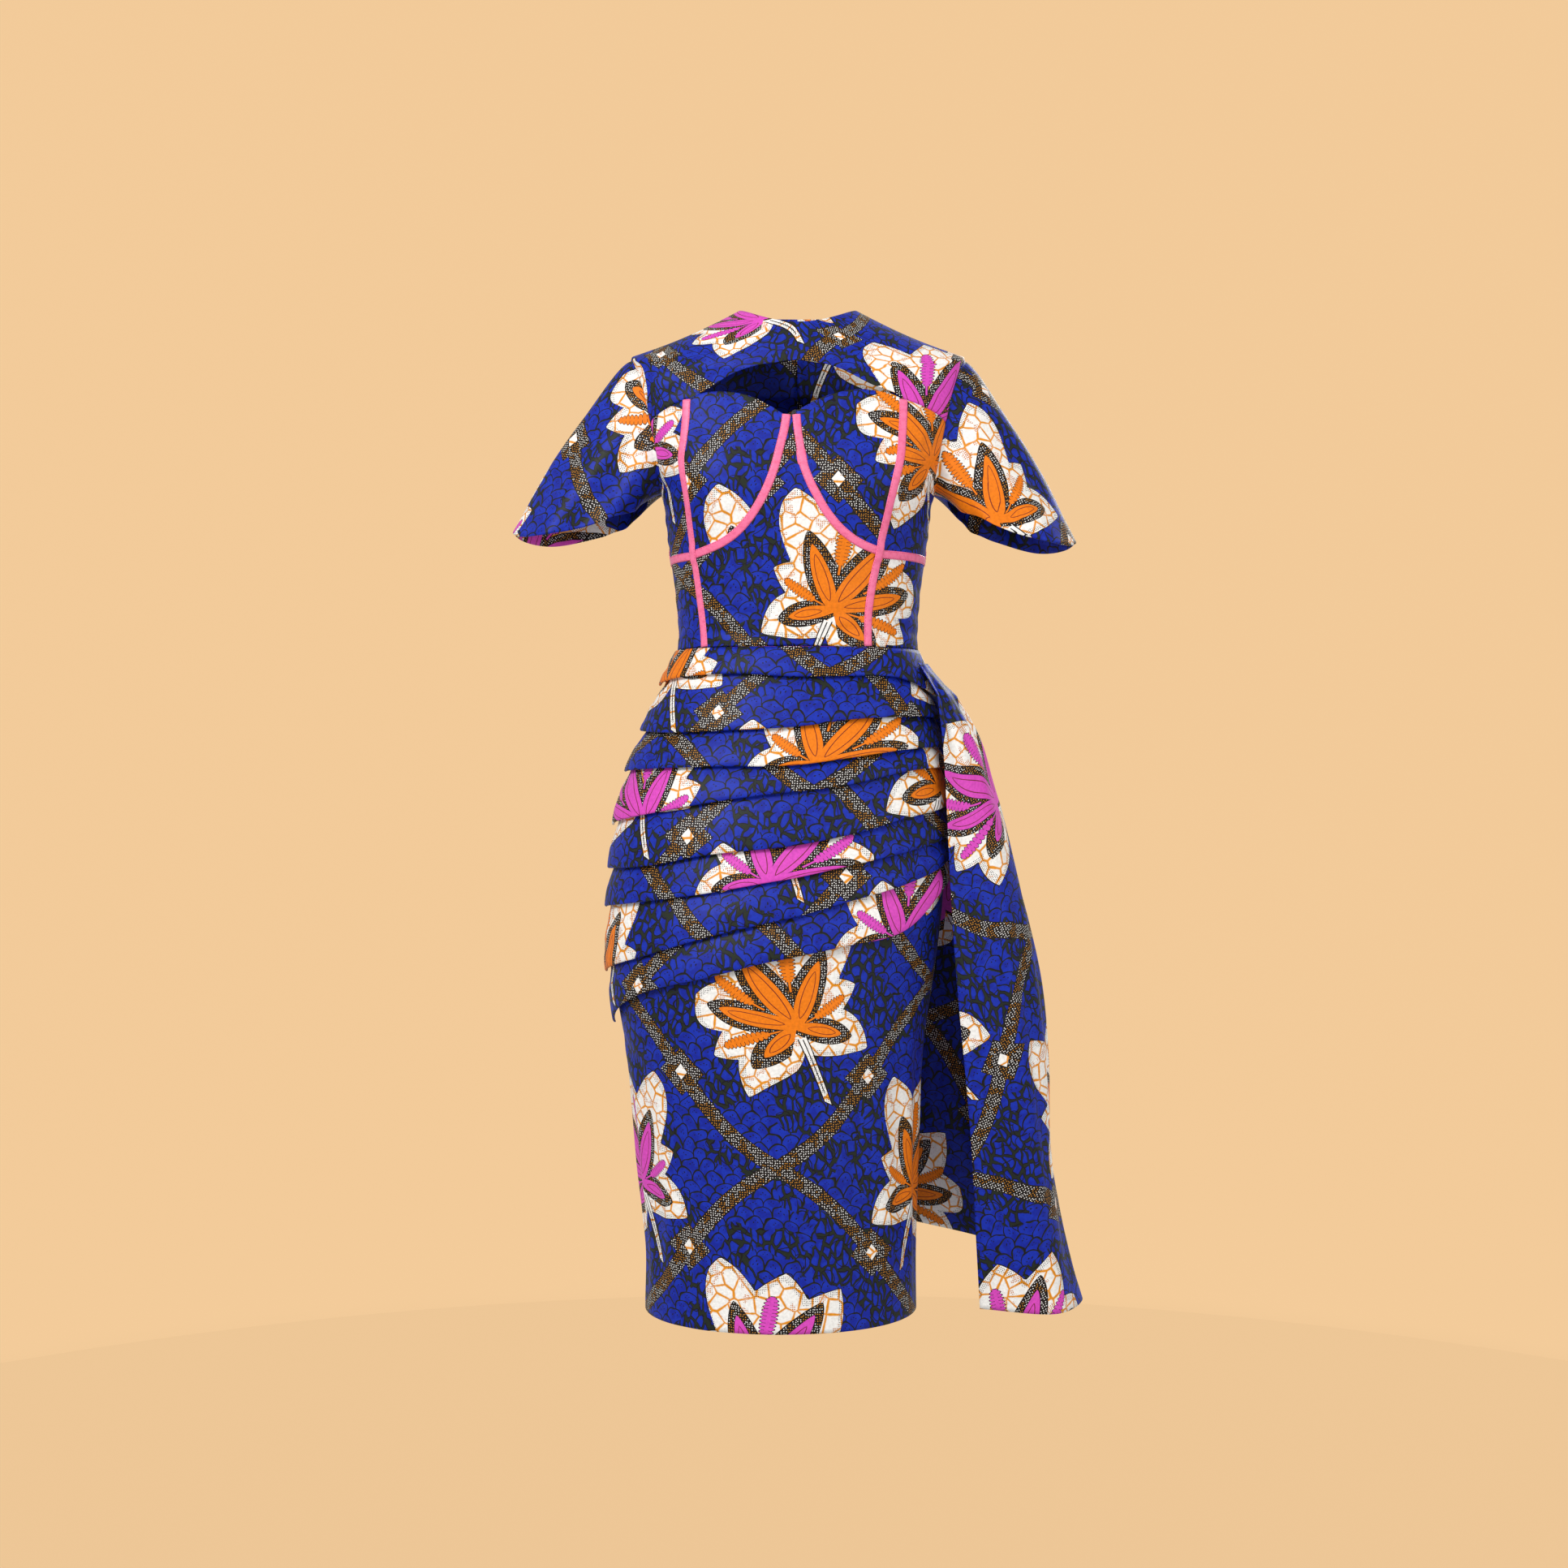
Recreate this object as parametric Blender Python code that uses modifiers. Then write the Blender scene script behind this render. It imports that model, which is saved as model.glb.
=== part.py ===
# Ankara wax print dress: a fitted bodice with a bust cut-out, bias tapes, flared
# sleeves, a pleated hip drape, a straight skirt and a side cascade.
# Metres, +Z up. The origin is midway between the shoulders at neck height.
# X runs to the left-hand side of the dress as worn, -Y is the front.

import bpy
import numpy as np
from math import pi, sin, cos, radians

# ---- driving dimensions -------------------------------------------------------

CLOTH = 0.0015          # wall of a cut panel
TAPE_WALL = 0.0010      # wall of a bias tape
TAPE_WIDTH = 0.0086
TAPE_LIFT = 0.0005      # air between a panel and the tape sewn on it
SEAM_GAP = 0.00035      # air between two panels at a seam

HEM = -1.047            # skirt hem height
WAIST = -0.357          # waist seam height
UNDERARM = -0.194
SHOULDER = -0.047       # height of the shoulder tip
NECK_HALF_WIDTH = 0.0625
NECK_DEPTH = 0.060      # from the side of the neck to its front or back
NECK_DROP = 0.0225      # how far the front neck edge sits below its sides
NECK_RISE = 0.008       # and the back neck edge above them
YOKE_BOW = 0.004        # outward bow between shoulder level and neck
SHOULDER_SAG = 0.0030   # how far the shoulder seam sags between tip and neck
SHOULDER_DIP = 0.026    # how far a section dips at centre front below its sides
DIP_START = -0.160

ARMHOLE_CENTRE = -0.1205
ARMHOLE_HALF_HEIGHT = 0.0735
ARMHOLE_HALF_ANGLE = 26.0
ARMHOLE_POWER = 2.4
# Heights of the points that the armhole edges and the sleeve share.
ARMHOLE_HEIGHTS = (-0.0470, -0.0490, -0.0540, -0.0630, -0.0770, -0.0970, -0.1210, -0.1380,
                   -0.1540, -0.1680, -0.1800, -0.1880, -0.1925, -0.1940)
SLEEVE_SET = 0.0030     # the sleeve follows the form this far past its seam

BUST_ANGLE = 38.0       # bust point, degrees from centre front
BUST_HEIGHT = -0.190
BUST_FULLNESS = 0.016
BUST_LEAN = (0.3, 0.95)  # sideways and forward share of the fullness
BUST_SPREAD_ANGLE = 26.0
BUST_SPREAD_HEIGHT = 0.050

SIDE_TAPE_LEVEL = -0.263
CUP_END = -0.262        # where the cup curve meets the upright tapes
SEAM_ANGLE = 0.3        # half the gap beside an upright front seam, as an angle
CUP_PEAK = -1.3         # angle of the peak between the cups
CUP_GAP_ANGLE = 0.35    # seam gap beside the peak, as an angle
# Angles of the points that the cups and the midriff share along the cup curve.
CUP_STATIONS = {
    -1: (-44.0, -37.0, -30.0, -24.0, -18.5, -14.0, -10.5, -7.6, -5.4, -3.6),
    1: (31.0, 27.0, 22.5, 18.0, 13.5, 9.2, 5.6, 3.0, 1.2, 0.2),
}
TAPE_TOP = -0.095       # top of the upright tapes, cups and side panels
YOKE_FOOT = -0.1210     # where the yoke's lower seam meets the armhole
LEVEL_ROWS_TO = -0.1800  # the side panels' rows are level up to here, then fan up to the yoke

# Sections of the dress, from hem to shoulder tip.
# height, centre_x, half_width, front_depth, back_depth, squareness
SECTIONS = np.array([
    (-1.047, -0.0180, 0.1415, 0.117, 0.117, 2.10),
    (-0.985, -0.0176, 0.1410, 0.117, 0.118, 2.10),
    (-0.947, -0.0189, 0.1433, 0.117, 0.118, 2.10),
    (-0.904, -0.0208, 0.1465, 0.117, 0.119, 2.10),
    (-0.847, -0.0225, 0.1500, 0.117, 0.121, 2.10),
    (-0.800, -0.0240, 0.1530, 0.117, 0.123, 2.10),
    (-0.755, -0.0250, 0.1580, 0.118, 0.125, 2.15),
    (-0.700, -0.0255, 0.1670, 0.118, 0.127, 2.15),
    (-0.600, -0.0197, 0.1720, 0.116, 0.127, 2.20),
    (-0.500, -0.0140, 0.1640, 0.108, 0.118, 2.20),
    (-0.430, -0.0045, 0.1475, 0.098, 0.104, 2.20),
    (-0.354, 0.0000, 0.1253, 0.089, 0.090, 2.20),
    (-0.299, 0.0000, 0.1276, 0.093, 0.094, 2.20),
    (-0.240, 0.0000, 0.1356, 0.098, 0.100, 2.20),
    (-0.194, 0.0000, 0.1420, 0.100, 0.104, 2.30),
    (-0.160, 0.0000, 0.1550, 0.098, 0.103, 2.40),
    (-0.120, 0.0000, 0.1660, 0.092, 0.098, 2.50),
    (-0.080, 0.0000, 0.1720, 0.083, 0.090, 2.60),
    (-0.047, 0.0000, 0.1746, 0.072, 0.078, 2.60),
])

# Seam lines on the bodice, as angle from centre front and height.
# angle, height: lower edge of the yoke over the cut-out
ARCH = np.array([
    (-33.0, -0.0950), (-30.0, -0.0885), (-24.0, -0.0760), (-17.0, -0.0572),
    (-10.3, -0.0438), (-5.3, -0.0400), (-1.0, -0.0372), (3.0, -0.0385),
    (8.0, -0.0440), (12.3, -0.0553), (19.0, -0.0724), (25.0, -0.0815),
    (30.0, -0.0885), (33.0, -0.0950),
])
# angle, height: top edge of the cups, with its V at the centre
SWEETHEART = np.array([
    (-35.5, -0.0950), (-28.0, -0.0870), (-21.3, -0.0850), (-14.0, -0.0886),
    (-10.0, -0.0943), (-6.0, -0.1057), (-1.3, -0.1165), (1.0, -0.1057),
    (4.0, -0.0953), (9.0, -0.0860), (16.3, -0.0815), (20.7, -0.0838),
    (27.0, -0.0880), (32.5, -0.0950),
])
# angle, height: lower edge of the cups, peaked between them
CUP_CURVE = np.array([
    (-64.0, -0.2630), (-54.3, -0.2627), (-46.7, -0.2601), (-35.3, -0.2544),
    (-24.7, -0.2429), (-15.7, -0.2215), (-9.3, -0.1953), (-4.9, -0.1639),
    (-2.6, -0.1300), (-1.3, -0.1200), (-0.2, -0.1300), (0.6, -0.1639),
    (3.7, -0.1953), (9.3, -0.2220), (17.0, -0.2420), (27.3, -0.2553),
    (33.3, -0.2590), (44.0, -0.2620), (56.7, -0.2629),
])
# height, angle on the left of the picture plane, angle on the right
UPRIGHT_TAPES = np.array([
    (-0.360, -47.3, 32.0), (-0.344, -48.7, 32.0), (-0.318, -49.9, 32.2),
    (-0.292, -50.9, 33.6), (-0.267, -51.5, 35.3), (-0.248, -51.0, 35.9),
    (-0.219, -49.8, 36.8), (-0.192, -48.4, 37.2), (-0.167, -45.3, 36.6),
    (-0.151, -42.3, 35.9), (-0.126, -39.0, 34.8), (-0.095, -36.3, 33.3),
])
TAPE_END_GAP = 0.0024    # from an upright tape's edge to the tapes that meet it
TAPE_RADIUS = 0.118      # of the dress where they meet
TAPE_STOP = 0.4          # a tape stops this many degrees short of a seam
CUP_TAPE_JOIN = {-1: -5.0, 1: 0.6}    # angle from which a cup tape follows the cup curve
# angle, height: middle line of each cup tape above that, side by side up to the top edge
CUP_TAPE_TOPS = {
    -1: ((-2.2, -0.1178), (-2.5, -0.1300), (-3.3, -0.1447)),
    1: ((-0.35, -0.1178), (-0.25, -0.1300), (0.0, -0.1447)),
}
BACK_TAPE_ANGLE = 98.0   # upright tapes behind the side seams
BACK_TAPE_START = 102.0  # where the back cross tapes begin
BACK_TAPE_RISE = 0.030   # how much the back cross tape climbs to the centre

# Lower edge of each fold of the hip drape; a row a fold, the last row is its hem.
DRAPE_ANGLES = (-89.4, -45.0, -20.0, 0.0, 20.0, 45.0, 68.0, 79.0)
DRAPE_FOLDS = (
    (-0.3965, -0.388, -0.387, -0.390, -0.389, -0.390, -0.402, -0.408),
    (-0.4440, -0.447, -0.4445, -0.441, -0.433, -0.430, -0.430, -0.434),
    (-0.4870, -0.483, -0.481, -0.480, -0.472, -0.463, -0.460, -0.461),
    (-0.5415, -0.527, -0.5155, -0.507, -0.499, -0.485, -0.481, -0.482),
    (-0.5865, -0.580, -0.568, -0.561, -0.549, -0.532, -0.523, -0.519),
    (-0.6270, -0.616, -0.606, -0.594, -0.580, -0.566, -0.555, -0.549),
    (-0.6940, -0.670, -0.650, -0.634, -0.616, -0.598, -0.582, -0.573),
    (-0.7470, -0.706, -0.690, -0.6735, -0.660, -0.645, -0.606, -0.594),
)
# Rows of the skirt, closer together where the waist curves in.
SKIRT_ROWS = (HEM, -0.990, -0.930, -0.870, -0.810, -0.755, -0.700, -0.640, -0.570, -0.500,
              -0.450, -0.410, -0.385, -0.368, WAIST - 0.0005)
DRAPE_WALL = 0.0012
DRAPE_INNER = 0.0024     # drape cloth lies this far out where it tucks in
DRAPE_OUTER = 0.0092     # and this far out at a fold's lower edge
DRAPE_FIRST = 0.0086     # the first fold lies closer, held by the waist seam
DRAPE_RETURN = 0.0064    # the cloth turned back up under the fold
DRAPE_EASE = 0.0008      # how far it has come out a tenth of the way down a fold
DRAPE_TUCK = 0.005       # height of the cloth turned back up
DRAPE_TURN = 0.0032      # least width of a turn in the cloth
TUCK_SHARE = 0.3         # and at most this share of the fold
DRAPE_SWELL = 0.0015     # extra roundness halfway down a fold

# Side cascade, from its gathered top to its hem. Plan points of each section:
# front edge, ridge of the front leaf, outermost point, back turn, rear edge.
# front_z, front_x, front_y, ridge_x, ridge_y, outer_x, outer_y,
# turn_x, turn_y, rear_x, rear_y, rear_z
CASCADE = np.array([
    (-0.405, 0.140, -0.056, 0.158, -0.030, 0.165, 0.002, 0.152, 0.040, 0.126, 0.068, -0.405),
    (-0.450, 0.146, -0.059, 0.179, -0.035, 0.192, 0.005, 0.175, 0.052, 0.130, 0.085, -0.445),
    (-0.500, 0.150, -0.060, 0.193, -0.038, 0.207, 0.006, 0.190, 0.062, 0.134, 0.098, -0.490),
    (-0.570, 0.154, -0.060, 0.212, -0.040, 0.226, 0.008, 0.206, 0.075, 0.136, 0.112, -0.555),
    (-0.650, 0.159, -0.057, 0.226, -0.042, 0.247, 0.012, 0.222, 0.088, 0.134, 0.122, -0.630),
    (-0.720, 0.165, -0.053, 0.234, -0.043, 0.261, 0.018, 0.236, 0.098, 0.132, 0.128, -0.690),
    (-0.800, 0.173, -0.047, 0.244, -0.042, 0.267, 0.023, 0.242, 0.108, 0.126, 0.134, -0.765),
    (-0.880, 0.180, -0.040, 0.254, -0.038, 0.267, 0.025, 0.240, 0.118, 0.118, 0.140, -0.840),
    (-0.960, 0.185, -0.030, 0.262, -0.036, 0.278, 0.024, 0.246, 0.128, 0.108, 0.146, -0.910),
    (-1.047, 0.191, -0.018, 0.270, -0.038, 0.301, 0.012, 0.258, 0.138, 0.098, 0.150, -0.983),
])
CASCADE_TOP_HEIGHT = -0.374
CASCADE_TOP_ANGLES = (64.0, 112.0)
CASCADE_TOP_LIFT = (0.0088, 0.0024)   # off the form at the front and rear ends
CASCADE_GATHERS = 5
GATHER_DEPTH = 0.0022
GATHER_REACH = 0.20      # the gathers have faded out this far down
HEM_LEVEL_TO = 0.45      # share of a section that stays level before it climbs to the rear

# Hem oval of each sleeve: side, tip_x, tip_z, inner_x, inner_z
SLEEVES = {
    "sleeve_left": (-1, -0.3000, -0.2300, -0.1590, -0.1960),
    "sleeve_right": (1, 0.2930, -0.2400, 0.1590, -0.1955),
}
SLEEVE_ROWS = (0.0, 0.12, 0.26, 0.43, 0.62, 0.81, 1.0)   # from the armhole to the hem
SLEEVE_HALF_DEPTH = 0.056
SLEEVE_SAG = 0.021       # how far the middle of the hem hangs below its ends
SLEEVE_CAP = 0.012       # upward bulge of the sleeve head
SLEEVE_FOLDS = 3
SLEEVE_FOLD_DEPTH = 0.004

BLUE_PRINT = (0.010, 0.030, 0.560, 1.0)
BLUE_PRINT_DEEP = (0.008, 0.022, 0.430, 1.0)
TAPE_PINK = (1.000, 0.200, 0.390, 1.0)


# ---- the form that every panel follows ----------------------------------------

def blend(a, b, t):
    return a + (b - a) * t


def smooth(rows, at, column):
    """Value of one column at a given first-column value, on a smooth curve."""
    x = rows[:, 0]
    y = rows[:, column]
    step = np.diff(x)
    slope = np.diff(y) / step
    tangent = np.zeros(len(x))
    tangent[0] = slope[0]
    tangent[-1] = slope[-1]
    tangent[1:-1] = (slope[:-1] * step[1:] + slope[1:] * step[:-1]) / (step[1:] + step[:-1])
    at = np.clip(at, x[0], x[-1])
    i = np.clip(np.searchsorted(x, at) - 1, 0, len(x) - 2)
    t = (at - x[i]) / step[i]
    rise = y[i] * (2 * t**3 - 3 * t**2 + 1) + y[i + 1] * (3 * t**2 - 2 * t**3)
    lean = tangent[i] * (t**3 - 2 * t**2 + t) + tangent[i + 1] * (t**3 - t**2)
    return rise + lean * step[i]


def form(angle, height):
    """Point on the dress form: angle from centre front, height at the side."""
    a = radians(angle)
    level = min(height, SHOULDER)
    centre, half, front, back, power = (smooth(SECTIONS, level, c) for c in range(1, 6))
    s, c = sin(a), cos(a)
    x = centre + half * np.sign(s) * abs(s) ** (2 / power)
    y = -(front if c > 0 else back) * np.sign(c) * abs(c) ** (2 / power)
    dip = SHOULDER_DIP * max(0.0, (level - DIP_START) / (SHOULDER - DIP_START)) ** 1.5
    z = level - dip * abs(c)
    across = (abs(angle) - BUST_ANGLE) / BUST_SPREAD_ANGLE
    upward = (level - BUST_HEIGHT) / BUST_SPREAD_HEIGHT
    bust = BUST_FULLNESS * np.exp(-across**2 - upward**2)
    x += BUST_LEAN[0] * bust * np.sign(angle)
    y -= BUST_LEAN[1] * bust
    if height > SHOULDER:
        r = (height - SHOULDER) / (0 - SHOULDER)
        bow = YOKE_BOW * sin(pi * r) * abs(c)
        neck_z = -NECK_DROP * c * c if c > 0 else NECK_RISE * c * c
        x += (NECK_HALF_WIDTH * s - x) * r
        y += (-NECK_DEPTH * c - y) * r - np.sign(c) * bow
        z += (neck_z - z) * r - SHOULDER_SAG * sin(pi * r)
    return np.array((x, y, z))


def on_form(angle, height, lift=0.0):
    """Point a given distance outside the form, along its normal."""
    p = form(angle, height)
    if lift == 0.0:
        return p
    turn = form(angle + 0.5, height) - form(angle - 0.5, height)
    low = max(height - 0.0008, HEM)
    high = min(height + 0.0008, 0.0)
    normal = np.cross(turn, form(angle, high) - form(angle, low))
    return p + normal / np.linalg.norm(normal) * lift


def armhole_half_angle(height):
    """How far the armhole reaches either side of the side seam at a height."""
    t = abs(height - ARMHOLE_CENTRE) / ARMHOLE_HALF_HEIGHT
    if t >= 1.0:
        return 0.0
    return ARMHOLE_HALF_ANGLE * (1 - t**ARMHOLE_POWER) ** (1 / ARMHOLE_POWER)


def gap_angle(height, at_centre=False, gap=SEAM_GAP):
    """Angle that half a seam gap takes at a side seam or at centre back."""
    level = min(height, SHOULDER)
    size = smooth(SECTIONS, level, 2 if at_centre else 3)
    angle = np.degrees((gap / 2 / size) ** (smooth(SECTIONS, level, 5) / 2))
    if height > SHOULDER:
        neck_angle = np.degrees(gap / 2 / NECK_DEPTH)
        angle = blend(angle, neck_angle, (height - SHOULDER) / (0 - SHOULDER))
    return angle


# ---- mesh helpers --------------------------------------------------------------

def material(name, colour, roughness):
    made = bpy.data.materials.new(name)
    made.use_nodes = True
    shader = made.node_tree.nodes["Principled BSDF"]
    shader.inputs["Base Color"].default_value = colour
    shader.inputs["Roughness"].default_value = roughness
    shader.inputs["Metallic"].default_value = 0.0
    return made


def grid_faces(rows, closed=False):
    """Quads between neighbouring rows of point numbers."""
    columns = len(rows[0])
    faces = []
    for low, high in zip(rows[:-1], rows[1:]):
        for i in range(columns if closed else columns - 1):
            j = (i + 1) % columns
            faces.append((low[i], low[j], high[j], high[i]))
    return faces


def add_cloth(collection, name, patches, look, wall, closed=False):
    """One sewn piece: patches of rows of points, welded where they meet, given a wall."""
    points = []
    faces = []
    found = {}
    for patch in patches:
        numbered = []
        for row in patch:
            numbers = []
            for p in row:
                key = tuple(np.round(p, 6))
                if key not in found:
                    found[key] = len(points)
                    points.append(tuple(p))
                numbers.append(found[key])
            numbered.append(numbers)
        faces += grid_faces(numbered, closed)
    faces = [tuple(dict.fromkeys(f)) for f in faces]
    faces = [f for f in faces if len(f) > 2]
    mesh = bpy.data.meshes.new(name)
    mesh.from_pydata(points, [], faces)
    mesh.materials.append(look)
    mesh.shade_smooth()
    mesh.set_sharp_from_angle(angle=radians(50))
    piece = bpy.data.objects.new(name, mesh)
    collection.objects.link(piece)
    shell = piece.modifiers.new("Cloth wall", "SOLIDIFY")
    shell.thickness = wall
    shell.offset = 1.0
    shell.use_even_offset = True
    return piece


def spaced(start, end, count):
    return list(np.linspace(start, end, count))


# ---- bodice --------------------------------------------------------------------

def tape_angle(height, side):
    """Angle of the upright front tape on one side at a height."""
    return float(smooth(UPRIGHT_TAPES, height, 1 if side < 0 else 2))


def build_yoke(collection, look):
    """Upper piece from the neck to the arch, with a slanting seam from there to each armhole."""
    yoke_edge = 90 - armhole_half_angle(YOKE_FOOT)
    inner = {side: abs(tape_angle(TAPE_TOP, side)) + SEAM_ANGLE for side in (-1, 1)}
    arch_angles = [a for a in ARCH[:, 0] if -32.5 < a < 32.0]
    columns = spaced(-yoke_edge, -inner[-1], 6) + arch_angles + spaced(inner[1], yoke_edge, 6)
    side_heights = [h for h in reversed(ARMHOLE_HEIGHTS) if h >= YOKE_FOOT]
    side_heights += [-0.036, -0.024, -0.012, 0.0]
    rows = []
    for side_height in side_heights:
        t = (side_height - YOKE_FOOT) / (0 - YOKE_FOOT)
        edge = 90 - armhole_half_angle(side_height) - gap_angle(side_height)
        row = []
        for a in columns:
            start = inner[-1] if a < 0 else inner[1]
            low = blend(TAPE_TOP, YOKE_FOOT, (abs(a) - start) / (yoke_edge - start))
            if a in arch_angles:
                low = smooth(ARCH, a, 1)
            row.append(on_form(a / yoke_edge * edge, blend(low, 0.0, t)))
        rows.append(row)
    return add_cloth(collection, "yoke", [rows], look, CLOTH)


def build_side_bust(collection, look, name, side):
    """Panel beside the cup, from the side tape up to the yoke, with the armhole on its far edge."""
    far_heights = [SIDE_TAPE_LEVEL, -0.245, -0.227, -0.210]
    far_heights += [h for h in reversed(ARMHOLE_HEIGHTS) if h <= YOKE_FOOT]
    stretch = (TAPE_TOP - LEVEL_ROWS_TO) / (YOKE_FOOT - LEVEL_ROWS_TO)
    rows = []
    for far_height in far_heights:
        near_height = far_height + max(0.0, far_height - LEVEL_ROWS_TO) * (stretch - 1)
        near = abs(tape_angle(near_height, side)) + SEAM_ANGLE
        far = 90 - armhole_half_angle(far_height) - gap_angle(far_height)
        drop = SEAM_GAP if far_height == YOKE_FOOT else 0.0
        row = []
        for t in spaced(0, 1, 6):
            row.append(on_form(side * blend(near, far, t), blend(near_height, far_height, t) - drop))
        rows.append(row if side > 0 else row[::-1])
    return add_cloth(collection, name, [rows], look, CLOTH)


def build_cup(collection, look, name, side):
    """A cup: columns fan from the sweetheart edge down to the cup curve."""
    outer = abs(tape_angle(TAPE_TOP, side)) - SEAM_ANGLE
    low_outer = side * (abs(tape_angle(CUP_END, side)) - SEAM_ANGLE)
    lows = [low_outer, *CUP_STATIONS[side]]
    columns = []
    for i, low in enumerate(lows):
        t = i / (len(lows) - 1)
        top = blend(side * outer, CUP_PEAK + side * 1.0, t)
        top_height = smooth(SWEETHEART, top, 1)
        low_height = smooth(CUP_CURVE, low, 1) + SEAM_GAP
        column = []
        for s in spaced(0, 1, 9):
            height = blend(low_height, top_height, s)
            angle = blend(low + side * CUP_GAP_ANGLE, top, s)
            if i == 0:
                angle = side * (abs(tape_angle(height, side)) - SEAM_ANGLE)
            column.append(on_form(angle, height))
        columns.append(column)
    if side > 0:
        columns.reverse()
    rows = [list(row) for row in zip(*columns)]
    return add_cloth(collection, name, [rows], look, CLOTH)


def build_midriff(collection, look):
    """Centre front panel: columns run from the waist up to the cup curve."""
    left_top = tape_angle(CUP_END, -1) + SEAM_ANGLE
    right_top = tape_angle(CUP_END, 1) - SEAM_ANGLE
    left_low = tape_angle(WAIST, -1) + SEAM_ANGLE
    right_low = tape_angle(WAIST, 1) - SEAM_ANGLE
    tops = [left_top, *CUP_STATIONS[-1], CUP_PEAK, *reversed(CUP_STATIONS[1]), right_top]
    columns = []
    for top in tops:
        across = (top - left_top) / (right_top - left_top)
        low = blend(left_low, right_low, across)
        top_height = smooth(CUP_CURVE, top, 1) - SEAM_GAP
        column = []
        for s in (0, 0.16, 0.32, 0.48, 0.64, 0.80, 1):
            height = blend(WAIST, top_height, s)
            angle = blend(low, top, s)
            if top == left_top:
                angle = tape_angle(height, -1) + SEAM_ANGLE
            if top == right_top:
                angle = tape_angle(height, 1) - SEAM_ANGLE
            column.append(on_form(angle, height))
        columns.append(column)
    rows = [list(row) for row in zip(*columns)]
    return add_cloth(collection, "midriff", [rows], look, CLOTH)


def build_side_front(collection, look, name, side):
    rows = []
    for height in spaced(WAIST, SIDE_TAPE_LEVEL - SEAM_GAP, 7):
        near = abs(tape_angle(height, side)) + SEAM_ANGLE
        far = 90 - gap_angle(height)
        angles = [blend(near, far, t) for t in spaced(0, 1, 6)]
        if side < 0:
            angles = [-a for a in reversed(angles)]
        rows.append([on_form(a, height) for a in angles])
    return add_cloth(collection, name, [rows], look, CLOTH)


def build_back(collection, look, name, side):
    """Half of the back bodice, from centre back to the side seam and armhole."""
    heights = [WAIST, -0.335, -0.310, -0.285, -0.262, -0.238, -0.214]
    heights += [*reversed(ARMHOLE_HEIGHTS), -0.036, -0.024, -0.012, 0.0]
    rows = []
    for height in heights:
        edge = 90 + armhole_half_angle(height) + gap_angle(height)
        centre = 180 - gap_angle(height, at_centre=True)
        angles = [side * blend(edge, centre, t) for t in spaced(0, 1, 9)]
        if side < 0:
            angles.reverse()
        rows.append([on_form(a, height) for a in angles])
    return add_cloth(collection, name, [rows], look, CLOTH)


def armhole_ring(side, inset):
    """Points round one armhole on the form, from its top down the front and up the back."""
    ring = []
    down = list(ARMHOLE_HEIGHTS)
    for fore, heights in ((1, down), (-1, down[-2:0:-1])):
        for height in heights:
            up = (height - ARMHOLE_CENTRE) / ARMHOLE_HALF_HEIGHT
            reach = armhole_half_angle(height)
            depth = smooth(SECTIONS, min(height, SHOULDER), 3)
            span = radians(ARMHOLE_HALF_ANGLE) * depth
            shrunk = reach * (1 - inset / span)
            moved = ARMHOLE_CENTRE + (height - ARMHOLE_CENTRE) * (1 - inset / ARMHOLE_HALF_HEIGHT)
            ring.append((up, fore, on_form(side * (90 - fore * shrunk), moved)))
    return ring


def sleeve_hem(up, fore, tip_x, tip_z, inner_x, inner_z):
    """Point of the hem oval that hangs from an armhole point."""
    across = fore * (max(0.0, 1 - up * up)) ** 0.5
    turn = np.arctan2(across, up)
    ripple = SLEEVE_FOLD_DEPTH * cos(SLEEVE_FOLDS * 2 * turn) * abs(across)
    return np.array(((tip_x + inner_x) / 2 + (tip_x - inner_x) / 2 * up,
                     -SLEEVE_HALF_DEPTH * across - ripple * fore,
                     (tip_z + inner_z) / 2 + (tip_z - inner_z) / 2 * up
                     - SLEEVE_SAG * abs(across)))


def build_sleeve(collection, look, name, side, tip_x, tip_z, inner_x, inner_z):
    """A set-in sleeve lofted from its armhole to a wide hem oval."""
    seam = armhole_ring(side, SEAM_GAP)
    set_in = armhole_ring(side, SLEEVE_SET)
    rows = [[p for _, _, p in seam]]
    for t in SLEEVE_ROWS:
        row = []
        for up, fore, start in set_in:
            end = sleeve_hem(up, fore, tip_x, tip_z, inner_x, inner_z)
            cap = SLEEVE_CAP * (1 - (1 - t) ** 12) * (1 - t**4) * max(0.0, up)
            row.append(blend(start, end, t) + np.array((0, 0, cap)))
        rows.append(row)
    if side < 0:
        rows = rows[::-1]
    return add_cloth(collection, name, [rows], look, CLOTH, closed=True)


# ---- tapes ---------------------------------------------------------------------

def tape_strip(path, width=TAPE_WIDTH, lift=CLOTH + TAPE_LIFT):
    """Rows of three points across a tape that follows a path of (angle, height)."""
    spine = [on_form(a, h) for a, h in path]
    left, middle, right = [], [], []
    for i, (angle, height) in enumerate(path):
        ahead = spine[min(i + 1, len(path) - 1)] - spine[max(i - 1, 0)]
        per_angle = (form(angle + 0.5, height) - form(angle - 0.5, height))
        per_height = (form(angle, height + 0.0005) - form(angle, height - 0.0005)) * 1000
        across = np.cross(np.cross(per_angle, per_height), ahead)
        across *= width / 2 / np.linalg.norm(across)
        basis = np.stack((per_angle, per_height), axis=1)
        d_angle, d_height = np.linalg.lstsq(basis, across, rcond=None)[0]
        left.append(on_form(angle + d_angle, height + d_height, lift))
        middle.append(on_form(angle, height, lift))
        right.append(on_form(angle - d_angle, height - d_height, lift))
    return [left, middle, right]


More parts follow.
